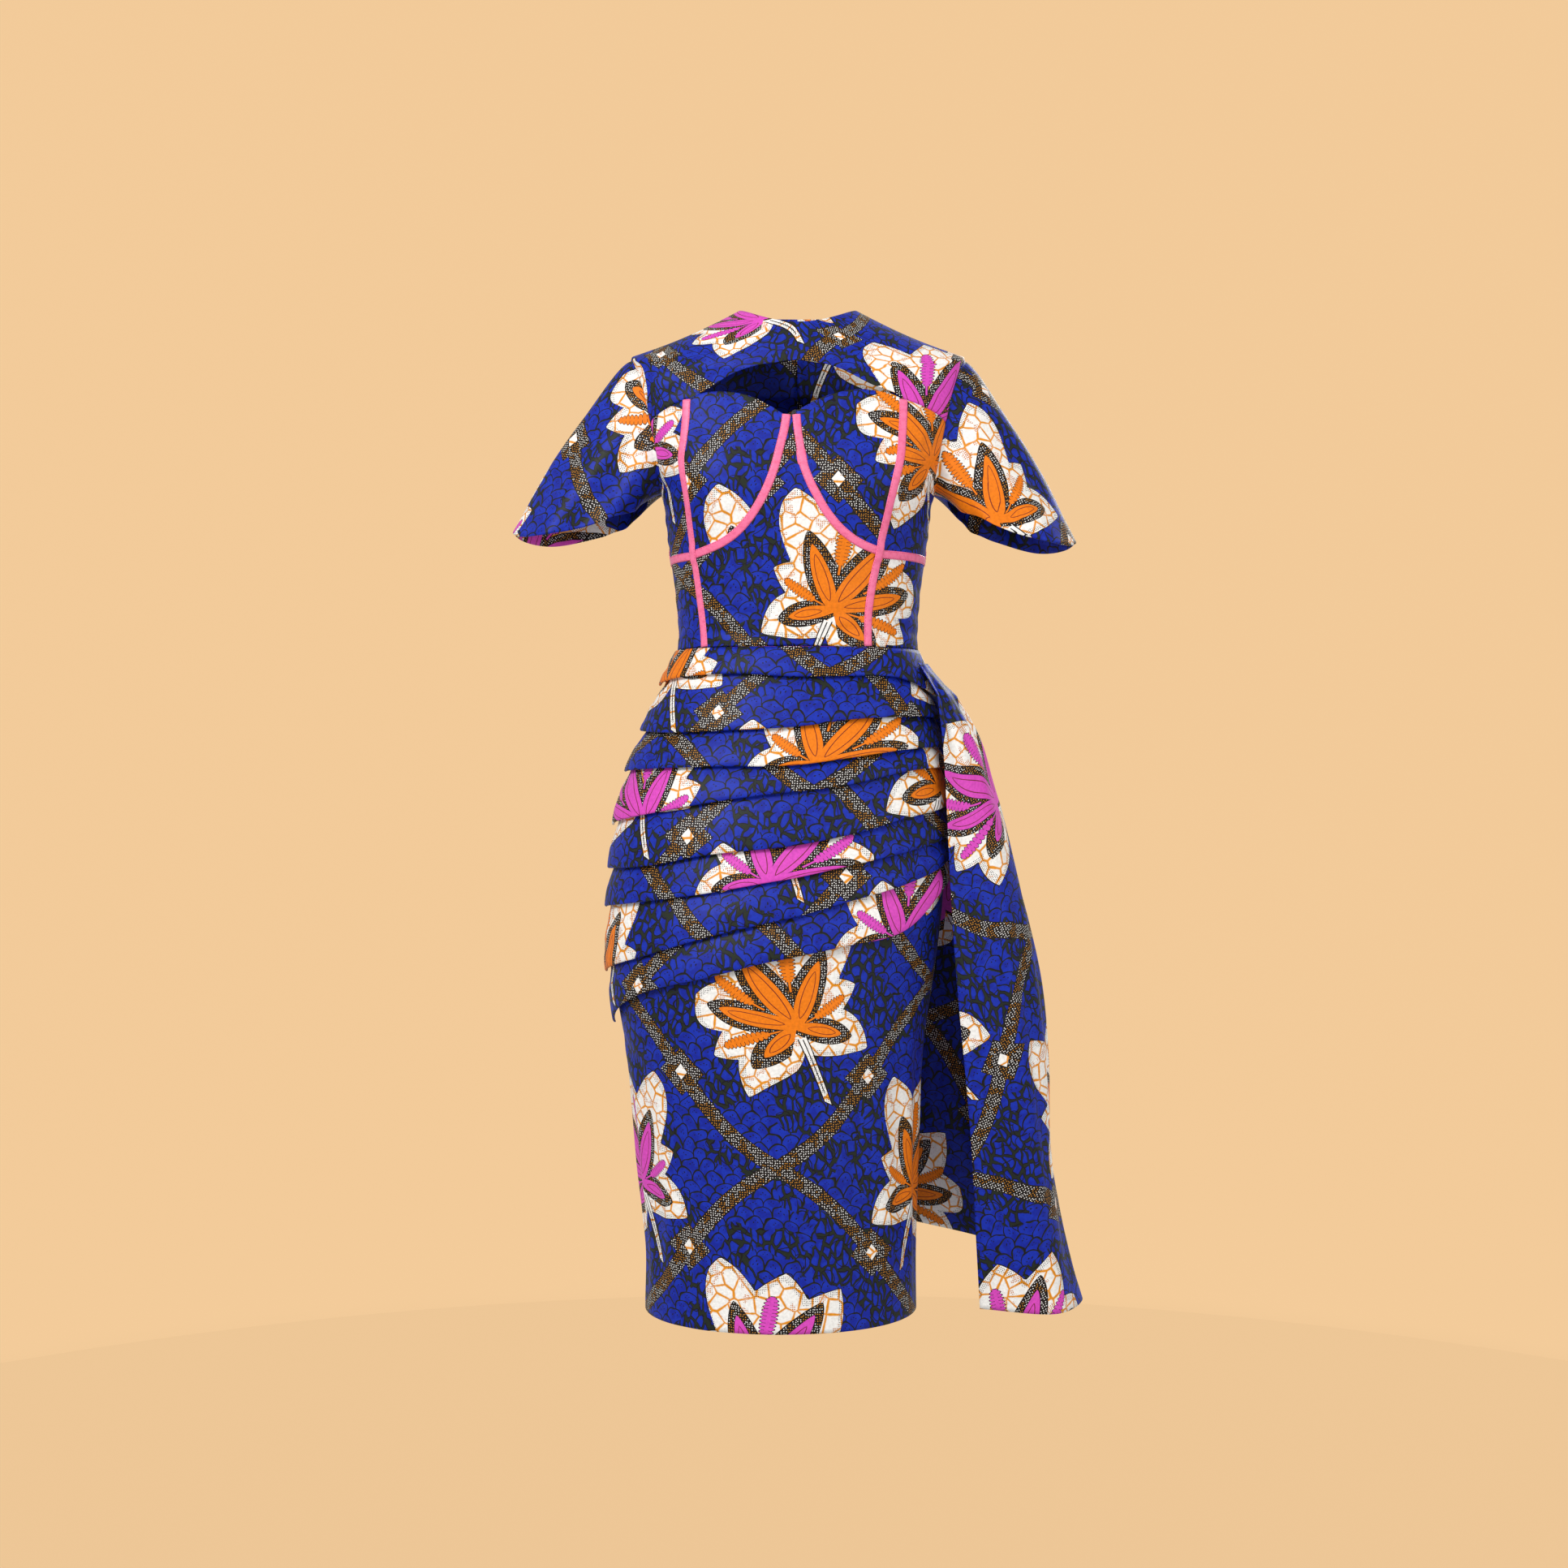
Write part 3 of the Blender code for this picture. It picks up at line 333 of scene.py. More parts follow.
wax = {
    # all lengths of the print in mm, angles in degrees clockwise from up
    "latticeWidth": 194.0, "latticeHeight": 179.0, "bandSway": 11.0, "bandHalf": 7.6,
    "rhombus": (34.0, 24.5), "rhombusHeart": (9.6, 8.6), "rhombusReach": 18.0,
    "dotPitch": 2.4, "dotRadius": 0.52, "dotEdge": 0.14, "warmDots": (12.0, 1.0), "stipplePitch": 1.9,
    "crackle": 15.0, "crackleWander": 2.2,
    # parts of the leaf: angle, length, half width, start; borders are the angles between two parts
    "leafFoot": (16.0, -37.0), "leafletStart": -5.0,
    "leaflets": ((-145, 38, 6.5, 0), (-75, 62, 7.5, 0), (-30, 80, 8.0, 0), (15, 68, 8.0, 0), (100, 44, 6.5, 0)),
    "leafletBorders": (-172, -110, -52, -8, 58),
    # the dotted shade round a leaflet: start, how much longer, how much wider; the loop in it: start, share of
    # its length, share of its width
    "leafletShade": (-7.0, 14.0, 6.0), "leafletLoop": (9.0, 0.84, 0.52),
    "sprigs": ((-112, 58, 5.0, 20), (-53, 80, 5.0, 37), (-7, 88, 5.0, 45), (58, 56, 5.0, 18)),
    "sprigBorders": (-165, -82, -29, 26),
    # a sprig's grains: pitch, width between them and added width at each; then its twig's half width and reach
    "grains": (3.6, 0.66, 0.44), "ribFrom": 1.6, "twig": (0.8, 10.0),
    # the stem shows from its start, has a rib, and widens the leaf's rim from its join
    "stem": (161, 82, 3.6), "stemStart": 12.0, "stemRib": (14.0, 12.0), "stemJoin": 20.0,
    # tips and notches of the pale leaf: angle, reach
    "outline": ((-180, 44), (-166, 58), (-155, 80), (-142, 66), (-130, 54), (-116, 74), (-106, 65), (-97, 57),
                (-87, 88), (-72, 93), (-56, 76), (-45, 99), (-35, 116), (-22, 92), (-10, 114), (1, 92),
                (8, 112), (16, 128), (25, 120), (40, 63), (56, 76), (70, 50), (90, 72), (106, 84),
                (122, 55), (146, 36), (168, 28), (180, 44)), "outlineReach": 150.0,
    # the ground is pushed about by noise of this size and reach; pitch, row height and radius of its fish scales,
    # then the places of their dots; size and turn of its brushed cells, their half size and the gaps between them;
    # pitch and radius of the arcs over them
    "push": (24.0, 13.0), "scales": (18.5, 10.6, 9.9), "scaleDots": (2.3, 2.6, 4.6),
    "brushedCell": (7.5, 15.0), "brushTurn": 0.45, "brushReach": 9.0, "brushGap": (0.45, 1.35), "arcs": (23.0, 8.0),
    # size and detail of each noise
    "blots": (15.0, 2.0), "patches": (11.0, 1.0), "regions": (60.0, 1.0), "clouds": (3.0, 3.0),
    "dyes": {"ink": "#1A100B", "white": "#FCFAF6", "orange": "#F58008", "magenta": "#E04CC4", "rust": "#7A2418",
             "dotWarm": "#D8922E", "vein": "#EA9412", "scorch": "#CC7412", "blue": "#0A229E",
             "blueLight": "#0F2EB0", "olive": "#1F271B", "line": "#120C10"},
    # real threads lie 0.4 mm apart; drawn four times as coarse so that they show
    "threadPitch": 1.6, "roughness": 0.52, "sheen": 0.03, "specular": 0.24,
}


def waxPrint():
    # plain-woven cotton, printed with dyes over a wax resist: deep flat colours with hairline crackle,
    # dye of a slightly uneven strength, and a low soft shine with no gloss
    look, add = newLook("Waxed cotton print")
    dyes = {name: linear(code) for name, code in wax["dyes"].items()}
    ink, white = dyes["ink"], dyes["white"]

    def far(a, b):
        return add("SQRT", add("+", add("*", a, a), add("*", b, b)))

    def dye(under, over, *edges):
        # lays one dye over another: whole up to each edge's first limit, none from its second on
        share = 1.0
        for value, whole, none in edges:
            shown = add("MapRange", {0: value, 1: whole, 2: none, 3: 1.0, 4: 0.0}, interpolation_type="SMOOTHSTEP")
            share = add("*", share, shown)
        return add("Mix", {0: share, 6: under, 7: over}, out=2, data_type="RGBA")

    spot = add("UVMap", uv_map="print")
    place = add("VectorMath", {0: spot, 3: 1000.0}, operation="SCALE")
    x = add("SeparateXYZ", place)
    z = x.node.outputs[1]
    wide, tall = wax["latticeWidth"], wax["latticeHeight"]

    # the swaying lattice of bands, with a rhombus on the middle of each
    wave = 2 * pi / wide
    turn = add("*", x, wave)
    across = add("/", add("+", x, add("*", add("SINE", turn), -wax["bandSway"])), wide)
    up = add("/", z, tall)
    diagonals = add("+", across, up), add("-", across, up)
    lean = add("/", add("+", add("*", add("COSINE", turn), -wax["bandSway"] * wave), 1.0), wide)
    steep = add("SQRT", add("+", add("*", lean, lean), 1 / tall**2))
    fromBand = add("MINIMUM", *[add("PINGPONG", line, 1.0) for line in diagonals])
    band = add("-", add("/", fromBand, steep), wax["bandHalf"])
    fromMiddle = [add("ABSOLUTE", add("*", add("-", add("FRACT", share), 0.5), size))
                  for share, size in ((across, wide), (up, tall))]
    rhombus, heart = (add("+", *[add("/", away, half) for away, half in zip(fromMiddle, wax[name])])
                      for name in ("rhombus", "rhombusHeart"))
    lattice = add("MINIMUM", band, add("*", add("-", rhombus, 1.0), wax["rhombusReach"]))

    # which cell of the lattice, and the leaf's own axes in it
    cell = [add("ROUND", add("/", add("-", line, 1.0), 2.0)) for line in diagonals]
    local = [add("-", line, add("+", add("*", number, 2.0), 1.0)) for line, number in zip(diagonals, cell)]
    odd = [add("FLOORED_MODULO", number, 2.0) for number in cell]
    mirror = add("-", add("*", odd[1], 2.0), 1.0)
    leafX = add("-", add("*", add("*", add("+", *local), wide / 2), mirror), wax["leafFoot"][0])
    leafZ = add("-", add("*", add("-", *local), tall / 2), wax["leafFoot"][1])
    reach = far(leafX, leafZ)
    lap = add("/", add("+", add("DEGREES", add("ARCTAN2", leafX, leafZ)), 180.0), 360.0)

    def ray(parts, borders):
        # along and beside the part whose sector the point is in, then that part's length, half width and start
        ramp = add("ValToRGB", lap)
        stops = ramp.node.color_ramp
        stops.interpolation = "CONSTANT"
        order = [(0.0, parts[-1]), *[((border + 180) / 360, part) for border, part in zip(borders, parts)]]
        stops.elements[1].position = order[-1][0]
        for position, _ in order[1:-1]:
            stops.elements.new(position)
        for stop, (_, (angle, length, half, start)) in zip(stops.elements, order):
            stop.color = ((angle + 180) / 360, length / 100, half / 10, start / 100)
        axis = add("SeparateColor", ramp)
        swing = add("RADIANS", add("*", add("-", lap, axis), 360.0))
        along = add("*", reach, add("COSINE", swing))
        aside = add("ABSOLUTE", add("*", reach, add("SINE", swing)))
        length, half = (add("*", axis.node.outputs[k], most) for k, most in ((1, 100.0), (2, 10.0)))
        return along, aside, length, half, add("*", ramp.node.outputs["Alpha"], 100.0)

    def lens(along, aside, start, length, half, fullness=0.72):
        # how far outside a pointed lens the point is
        q = add("/", add("-", along, start), add("-", length, start))
        q = add("MAXIMUM", add("MINIMUM", q, 1.0), 0.0)
        arch = add("POWER", add("*", add("*", q, add("-", 1.0, q)), 4.0), fullness)
        pastEnds = add("MAXIMUM", add("-", along, length), add("-", start, along))
        return add("MAXIMUM", add("-", aside, add("*", half, arch)), pastEnds)

    along, aside, length, half, _ = ray(wax["leaflets"], wax["leafletBorders"])
    leaflet = lens(along, aside, wax["leafletStart"], length, half)
    begin, longer, wider = wax["leafletShade"]
    shade = lens(along, aside, begin, add("+", length, longer), add("+", half, wider))
    begin, longer, wider = wax["leafletLoop"]
    loop = add("ABSOLUTE", lens(along, aside, begin, add("*", length, longer), add("*", half, wider)))
    along, aside, length, half, start = ray(wax["sprigs"], wax["sprigBorders"])
    pitch, between, wider = wax["grains"]
    grain = add("ABSOLUTE", add("SINE", add("*", along, pi / pitch)))
    ear = lens(along, aside, start, length, add("*", half, add("+", between, add("*", grain, wider))), 0.3)
    ribs = add("MAXIMUM", grain, add("-", wax["ribFrom"], aside))
    twigHalf, twigReach = wax["twig"]
    twig = add("MAXIMUM", add("-", aside, twigHalf), add("-", along, length))
    sprig = add("MINIMUM", ear, add("MAXIMUM", twig, add("-", add("-", start, twigReach), along)))
    angle, length, half = wax["stem"]
    sine, cosine = sin(radians(angle)), cos(radians(angle))
    aside = add("+", add("*", leafX, cosine), add("*", leafZ, -sine))
    along = add("+", add("*", leafX, sine), add("*", leafZ, cosine))
    stem = add("MAXIMUM", add("-", add("ABSOLUTE", aside), half), add("-", add("+", along, aside), length))
    ribStart, ribStop = wax["stemRib"]
    rib = add("MAXIMUM", add("ABSOLUTE", aside), add("-", along, length - ribStop))
    stemInk = add("MINIMUM", add("ABSOLUTE", stem), add("ABSOLUTE", add("MAXIMUM", rib, add("-", ribStart, along))))
    pastFoot = (along, wax["stemStart"], wax["stemStart"] - 0.1)

    # the lobed rim of the pale leaf, with the stem joined on
    curve = add("FloatCurve", {1: lap})
    rim = curve.node.mapping.curves[0]
    outline = [((angle + 180) / 360, out / wax["outlineReach"]) for angle, out in wax["outline"]]
    rim.points[0].location, rim.points[-1].location = outline[0], outline[-1]
    for point in outline[1:-1]:
        rim.points.new(*point)
    for before, point, after in zip(rim.points[:-2], rim.points[1:-1], rim.points[2:]):
        rise, fall = point.location[1] - before.location[1], point.location[1] - after.location[1]
        point.handle_type = "VECTOR" if rise * fall > 0 else "AUTO"
    curve.node.mapping.update()
    leaf = add("-", reach, add("*", curve, wax["outlineReach"]))
    rimOut = add("MINIMUM", leaf, add("MAXIMUM", stem, add("-", wax["stemJoin"], along)))

    # unevenness at several sizes: blots of the resist, patches and regions of the ground, the dye's strength
    blot, patch, region, cloud = (
        add("TexNoise", {"Vector": place, "Scale": 1 / wax[name][0], "Detail": wax[name][1]}, noise_dimensions="2D")
        for name in ("blots", "patches", "regions", "clouds"))
    dots, stipple = (
        add("TexVoronoi", {"Vector": place, "Scale": 1 / pitch, "Randomness": spread}, voronoi_dimensions="2D")
        for pitch, spread in ((wax["dotPitch"], 0.45), (wax["stipplePitch"], 0.25)))
    size, detail = wax["warmDots"]
    warm = add("TexNoise", {"Vector": dots.node.outputs["Position"], "Scale": 1 / size, "Detail": detail},
               noise_dimensions="2D")
    dots, stipple = add("*", dots, wax["dotPitch"]), add("*", stipple, wax["stipplePitch"])
    dotted = dye(ink, dye(white, dyes["dotWarm"], (warm, 0.47, 0.49)),
                 (dots, wax["dotRadius"] - wax["dotEdge"], wax["dotRadius"] + wax["dotEdge"]))
    veins = add("TexVoronoi", {"Vector": place, "Scale": 1 / wax["crackle"]}, voronoi_dimensions="2D",
                feature="DISTANCE_TO_EDGE")
    veins = add("-", add("*", veins, wax["crackle"]), add("*", blot, wax["crackleWander"]))
    pale = dye(white, dyes["vein"], (veins, -0.8, 0.6))
    pale = dye(pale, dyes["scorch"], (blot, 0.36, 0.38), (stipple, 0.5, 0.8))

    # the blue ground, hand drawn: dotted fish scales in places, brushed cells under arcs elsewhere
    pitch, rowHeight, radius = wax["scales"]
    dotAside, dotsUp, dotUp = wax["scaleDots"]
    size, reach = wax["push"]
    push = add("TexNoise", {"Vector": place, "Scale": 1 / size, "Detail": 1.0}, out=1, noise_dimensions="2D")
    pushed = add("VectorMath", {0: push, 1: (reach, reach, 0.0), 2: place}, operation="MULTIPLY_ADD")
    pushedX = add("SeparateXYZ", pushed)
    rows = add("/", pushedX.node.outputs[1], rowHeight)
    row = add("FLOOR", rows)
    rise = add("-", rows, row)
    shift = add("+", add("/", pushedX, pitch), add("*", add("FLOORED_MODULO", row, 2.0), 0.5))
    domes = []
    for extra, below in ((0.5, -1.0), (0.0, 0.0), (0.5, 1.0)):
        dx = add("*", add("-", add("FRACT", add("+", shift, extra)), 0.5), pitch)
        dz = add("*", add("+", rise, below), rowHeight)
        pair = far(add("-", add("ABSOLUTE", dx), dotAside), add("-", dz, dotsUp))
        domes.append((far(dx, dz), add("MINIMUM", pair, far(dx, add("-", dz, dotUp)))))
    dome, spots = domes[0]
    for nextDome, nextSpots in domes[1:]:
        front = add("LESS_THAN", nextDome, radius)
        dome, spots = (add("Mix", {0: front, 2: behind, 3: before})
                       for behind, before in ((dome, nextDome), (spots, nextSpots)))
    cellWidth, cellHeight = wax["brushedCell"]
    strokes = add("Mapping", {"Vector": pushed, "Rotation": (0, 0, wax["brushTurn"]),
                              "Scale": (1 / cellWidth, 1 / cellHeight, 1)})
    cells = add("TexVoronoi", {"Vector": strokes, "Scale": 1.0, "Randomness": 0.75}, voronoi_dimensions="2D",
                feature="DISTANCE_TO_EDGE")
    narrow, broad = wax["brushGap"]
    gap = add("MapRange", {0: patch, 1: 0.36, 2: 0.68, 3: narrow, 4: broad})
    pastGap = add("-", add("*", cells, wax["brushReach"]), gap)
    arcPitch, arcRadius = wax["arcs"]
    rings = add("TexVoronoi", {"Vector": pushed, "Scale": 1 / arcPitch}, voronoi_dimensions="2D")
    arc = add("ABSOLUTE", add("-", add("*", rings, arcPitch), arcRadius))
    ground = dye(dyes["blue"], dyes["blueLight"], (patch, 0.42, 0.58))
    scaled = dye(ground, dyes["olive"], (add("+", dome, add("*", patch, 3.0)), radius + 0.1, radius - 0.3))
    domeEdge = add("ABSOLUTE", add("-", dome, radius - 0.5))
    scaled = dye(scaled, dyes["line"], (add("MINIMUM", domeEdge, spots), 0.5, 0.8))
    brushed = dye(ground, dyes["olive"], (pastGap, -0.2, 0.2))
    cellEdge = add("ABSOLUTE", add("-", pastGap, 0.3))
    brushed = dye(brushed, dyes["line"], (add("MINIMUM", cellEdge, add("-", arc, 0.1)), 0.25, 0.5))
    colour = dye(scaled, brushed, (region, 0.49, 0.50))

    # the leaf over the ground, then the bands over the leaf; each row is a dye and where it shows
    tint = dye(dyes["orange"], dyes["magenta"], (odd[0], 0.75, 0.25))
    innerRim = add("ABSOLUTE", add("+", rimOut, 5.2))
    for over, *edges in (
            (pale, (rimOut, -0.2, 0.2)),
            (ink, (innerRim, 3.4, 3.8), (blot, 0.38, 0.36), (stipple, 0.36, 0.62)),
            (dotted, (shade, -0.3, 0.3)), (ink, (add("ABSOLUTE", shade), 0.3, 0.6)),
            (ink, (sprig, 0.6, 1.0)), (tint, (sprig, -0.2, 0.2)), (ink, (ribs, 0.1, 0.3), (ear, -0.4, 0.0)),
            (ink, (leaflet, 0.4, 0.7)), (tint, (leaflet, -0.2, 0.2)),
            (dyes["rust"], (loop, 0.2, 0.5), (leaflet, -0.9, -0.6)),
            (white, (stem, 0.2, 0.4), pastFoot, (leaf, -0.1, 0.0)),
            (ink, (stemInk, 0.35, 0.6), (stem, 0.5, 0.7), pastFoot),
            (ink, (add("ABSOLUTE", add("+", rimOut, 0.3)), 0.45, 0.75)),
            (dotted, (lattice, -0.3, 0.3)), (ink, (add("ABSOLUTE", lattice), 0.25, 0.5)),
            (ink, (heart, 1.05, 1.12)), (pale, (heart, 0.92, 1.0))):
        colour = dye(colour, over, *edges)

    dyed = add("MapRange", {0: cloud, 1: 0.3, 2: 0.7, 3: 0.90, 4: 1.08})
    colour = add("Mix", {0: 1.0, 6: colour, 7: dyed}, out=2, data_type="RGBA", blend_type="MULTIPLY")
    # at a scale of 1 the upright bands of a wave lie 0.3125 apart
    weave = add("TexWave", {"Vector": place, "Scale": 0.3125 / wax["threadPitch"], "Distortion": 0.6})
    bump = add("Bump", {"Height": weave, "Strength": 0.05, "Distance": 0.0002})
    surface = add("BsdfPrincipled", {"Base Color": colour, "Roughness": wax["roughness"],
                                     "Sheen Weight": wax["sheen"], "Sheen Roughness": 0.4,
                                     "Specular IOR Level": wax["specular"], "Normal": bump})
    add("OutputMaterial", {"Surface": surface})
    return look


tape = {
    "pink": "#FF7BA8", "deep": "#E2517F", "thread": "#E4567F",
    # real ribs lie 0.3 mm apart and the thread's twist 0.5 mm; both drawn coarser so that they show
    "ribPitch": 1.99, "twistPitch": 1.11, "cloudSize": 5.0,
    "roughness": 0.42, "sheen": 0.25, "specular": 0.45, "threadRoughness": 0.6,
}


def tapeSatin():
    # satin-faced cotton cut on the bias and folded: an even warm pink, deeper in soft clouds where the folds
    # under it show through, with slanting ribs and more shine than the print
    look, add = newLook("Folded pink bias tape")
    spot = add("UVMap", uv_map="print")
    place = add("VectorMath", {0: spot, 3: 1000.0}, operation="SCALE")
    cloud = add("TexNoise", {"Vector": place, "Scale": 1 / tape["cloudSize"], "Detail": 2.0}, noise_dimensions="2D")
    deep = add("MapRange", {0: cloud, 1: 0.45, 2: 0.85, 3: 0.0, 4: 0.6})
    colour = add("Mix", {0: deep, 6: linear(tape["pink"]), 7: linear(tape["deep"])}, out=2, data_type="RGBA")
    # at a scale of 1 the slanting bands of a wave lie 0.4443 apart
    rib = add("TexWave", {"Vector": place, "Scale": 0.4443 / tape["ribPitch"], "Distortion": 0.4},
              bands_direction="DIAGONAL")
    bump = add("Bump", {"Height": rib, "Strength": 0.08, "Distance": 0.0002})
    surface = add("BsdfPrincipled", {"Base Color": colour, "Roughness": tape["roughness"],
                                     "Sheen Weight": tape["sheen"], "Sheen Roughness": 0.3,
                                     "Specular IOR Level": tape["specular"], "Normal": bump})
    add("OutputMaterial", {"Surface": surface})
    return look


def threadLook():
    # spun polyester sewing thread: matt, a shade deeper than the tape, its twist as small uneven flecks
    look, add = newLook("Pink sewing thread")
    twist = add("TexNoise", {"Vector": add("TexCoord", out=3), "Scale": 1000 / tape["twistPitch"]})
    colour = add("Mix", {0: twist, 6: linear(tape["thread"]), 7: linear(tape["deep"])}, out=2, data_type="RGBA")
    surface = add("BsdfPrincipled", {"Base Color": colour, "Roughness": tape["threadRoughness"]})
    add("OutputMaterial", {"Surface": surface})
    return look


cloth = waxPrint()
satin = tapeSatin()
thread = threadLook()
print("materials made")

# bodice
# placing, in each piece: turn in degrees, then a spot of the cloth and the spot of the print laid there, in mm
yoke = {
    "foot": -0.1210, "columns": (40, 100), "rowGap": 0.001,
    "placing": (-7.8, 42.6, -9.7, -97, -89.5),
    "creases": [(-178, -62, -124, -44, -1.1, 8), (-165, -92, -118, -70, -1.3, 7), (-128, -52, -92, -22, -0.8, 8),
                (-44, -12, -58, -36, -0.7, 7), (12, -8, 22, -30, -0.6, 8), (172, -66, 120, -42, -1.0, 8),
                (166, -96, 124, -78, -1.3, 6), (118, -46, 84, -20, -0.8, 9), (96, -84, 74, -58, -0.6, 6)],
    "cut": (0.415, 0.190), "area": 0.0350, "held": "hung", "on": ("back_left", "back_right"),
}

sideBusts = {
    "levelTo": -0.1800, "lowRows": 30, "rowGap": 0.0008,
    "side_bust_left": {
        "placing": (0.0, -132.7, -103.8, -125, 8),
        "creases": [(-206, -204, -160, -222, -1.5, 5), (-208, -226, -150, -238, -1.1, 5),
                    (-186, -176, -148, -202, -1.3, 6), (-203, -247, -166, -251, -0.9, 4),
                    (-158, -132, -141, -168, -1.0, 6), (-178, -212, -172, -256, -0.8, 4)],
        "cut": (0.095, 0.168), "area": 0.0100, "held": "stretched", "on": ("yoke", "back_left")},
    "side_bust_right": {
        "placing": (0.0, 141.3, -164.1, 16, 142),
        "creases": [(206, -201, 163, -216, -1.6, 5), (207, -222, 148, -236, -1.2, 5), (188, -174, 150, -196, -1.2, 6),
                    (202, -242, 160, -250, -0.9, 5), (146, -128, 128, -162, -0.9, 6), (184, -205, 176, -254, -1.0, 4),
                    (120, -176, 104, -226, -0.6, 8)],
        "cut": (0.126, 0.168), "area": 0.0133, "held": "stretched", "on": ("yoke", "back_right")},
}


def yokePatch():
    # from the neck down to the arch, and to a slanting seam on either side of it
    foot, top = yoke["foot"], seams["tapeTop"]
    yokeEdge = 90 - float(armholeReach(foot))
    inner = {side: abs(float(uprightAngle(top, side))) for side in (-1, 1)}
    beside, between = yoke["columns"]
    columns = np.concatenate((np.linspace(-yokeEdge, -inner[-1], beside)[:-1],
                              np.linspace(-inner[-1], inner[1], between),
                              np.linspace(inner[1], yokeEdge, beside)[1:]))
    sides = armholeHeights()
    sides = np.concatenate(([foot], sides[sides > foot + yoke["rowGap"]], neckHeights))
    t = 1 - sides / foot
    edge = 90 - armholeReach(sides)
    start = np.where(columns < 0, inner[-1], inner[1])
    slant = top + (foot - top) * np.clip((np.abs(columns) - start) / (yokeEdge - start), 0, 1)
    inArch = (columns > -inner[-1]) & (columns < inner[1])
    low = np.where(inArch, smooth(seams["arch"], columns, 1), slant)
    angle = columns[None, :] / yokeEdge * edge[:, None]
    height = low[None, :] * (1 - t[:, None])
    toSide = (edge[:, None] - np.abs(angle)) * form["degree"]
    toFoot = np.where(inArch[None, :], 1.0, height - slant[None, :])
    return angle, height, (toSide, toFoot)


def sideBustPatch(side, columns=60):
    # from the upright seam out to the side seam and the armhole
    low, top, foot, level = seams["sideLevel"], seams["tapeTop"], yoke["foot"], sideBusts["levelTo"]
    far = armholeHeights()
    far = np.concatenate((np.linspace(low, armhole["foot"], sideBusts["lowRows"])[:-1],
                          far[far < foot - sideBusts["rowGap"]], [foot]))
    near = far + np.maximum(0.0, far - level) * ((top - level) / (foot - level) - 1)
    share = np.linspace(0, 1, columns)[None, :]
    nearAngle = np.abs(uprightAngle(near, side))[:, None]
    farAngle = (90 - armholeReach(far))[:, None]
    angle = nearAngle + (farAngle - nearAngle) * share
    height = near[:, None] + (far - near)[:, None] * share
    return forSide(side, angle, height, (farAngle - angle) * form["degree"], height - low, height[-1:] - height)


cups = {
    "seamShift": 0.15,  # degrees between a cup's lower edge and the seam line
    "cup_left": {
        "placing": (0.0, -117, -187, -97, -89.5),
        "creases": [(-104, -112, -84, -152, -0.9, 9), (-66, -96, -52, -132, -0.6, 8), (-58, -214, -82, -236, -0.8, 6),
                    (-36, -172, -30, -208, -0.6, 7), (-106, -196, -88, -232, -0.7, 7)],
        "cut": (0.110, 0.171), "area": 0.0138, "held": "stretched", "on": ("side_bust_left", "midriff")},
    "cup_right": {
        "placing": (0.0, 40.2, -188.8, -97, 89.5),
        "creases": [(78, -110, 60, -150, -0.9, 9), (42, -94, 30, -128, -0.6, 8), (44, -204, 70, -230, -0.8, 6),
                    (24, -166, 19, -200, -0.6, 7), (86, -186, 74, -224, -0.7, 7)],
        "cut": (0.110, 0.169), "area": 0.0135, "held": "stretched", "on": ("side_bust_right", "midriff")},
}


def cupPatch(side, rows=70, columns=100):
    # from the curved seam under the bust up to the sweetheart edge
    stations = np.array((side * abs(float(uprightAngle(seams["cupEnd"], side))), *seams["cupStations"][side]))
    t = np.linspace(0, 1, columns)
    low = smooth(np.column_stack((np.linspace(0, 1, len(stations)), stations)), t, 1)
    outer = abs(float(uprightAngle(seams["tapeTop"], side)))
    top = side * outer + (seams["cupPeak"] + side - side * outer) * t
    topHeight = smooth(seams["sweetheart"], top, 1)
    lowHeight = smooth(seams["cupCurve"], low, 1)
    s = np.linspace(0, 1, rows)[:, None]
    height = lowHeight + (topHeight - lowHeight) * s
    shift = side * cups["seamShift"]
    angle = low + shift + (top - low - shift) * s
    drift = side * np.abs(uprightAngle(height[:, :1], side)) - angle[:, :1]
    angle = angle + drift * (1 - t[None, :]) ** 3
    return (angle, height, ()) if side < 0 else (angle[:, ::-1], height[:, ::-1], ())


midriff = {
    "placing": (0.0, 42.1, -320.1, 178, -37),
    "creases": [(-104, -338, -38, -347, -1.0, 5), (-92, -318, -46, -326, -0.7, 6), (8, -346, 78, -337, -1.0, 5),
                (26, -326, 72, -318, -0.7, 6), (-98, -292, -52, -304, -0.6, 7), (18, -284, 68, -298, -0.6, 7),
                (-22, -262, -28, -330, -0.5, 9), (-8, -176, -10, -232, -0.5, 7)],
    "cut": (0.198, 0.235), "area": 0.0256, "held": "stretched", "on": ("cup_left", "cup_right"),
}


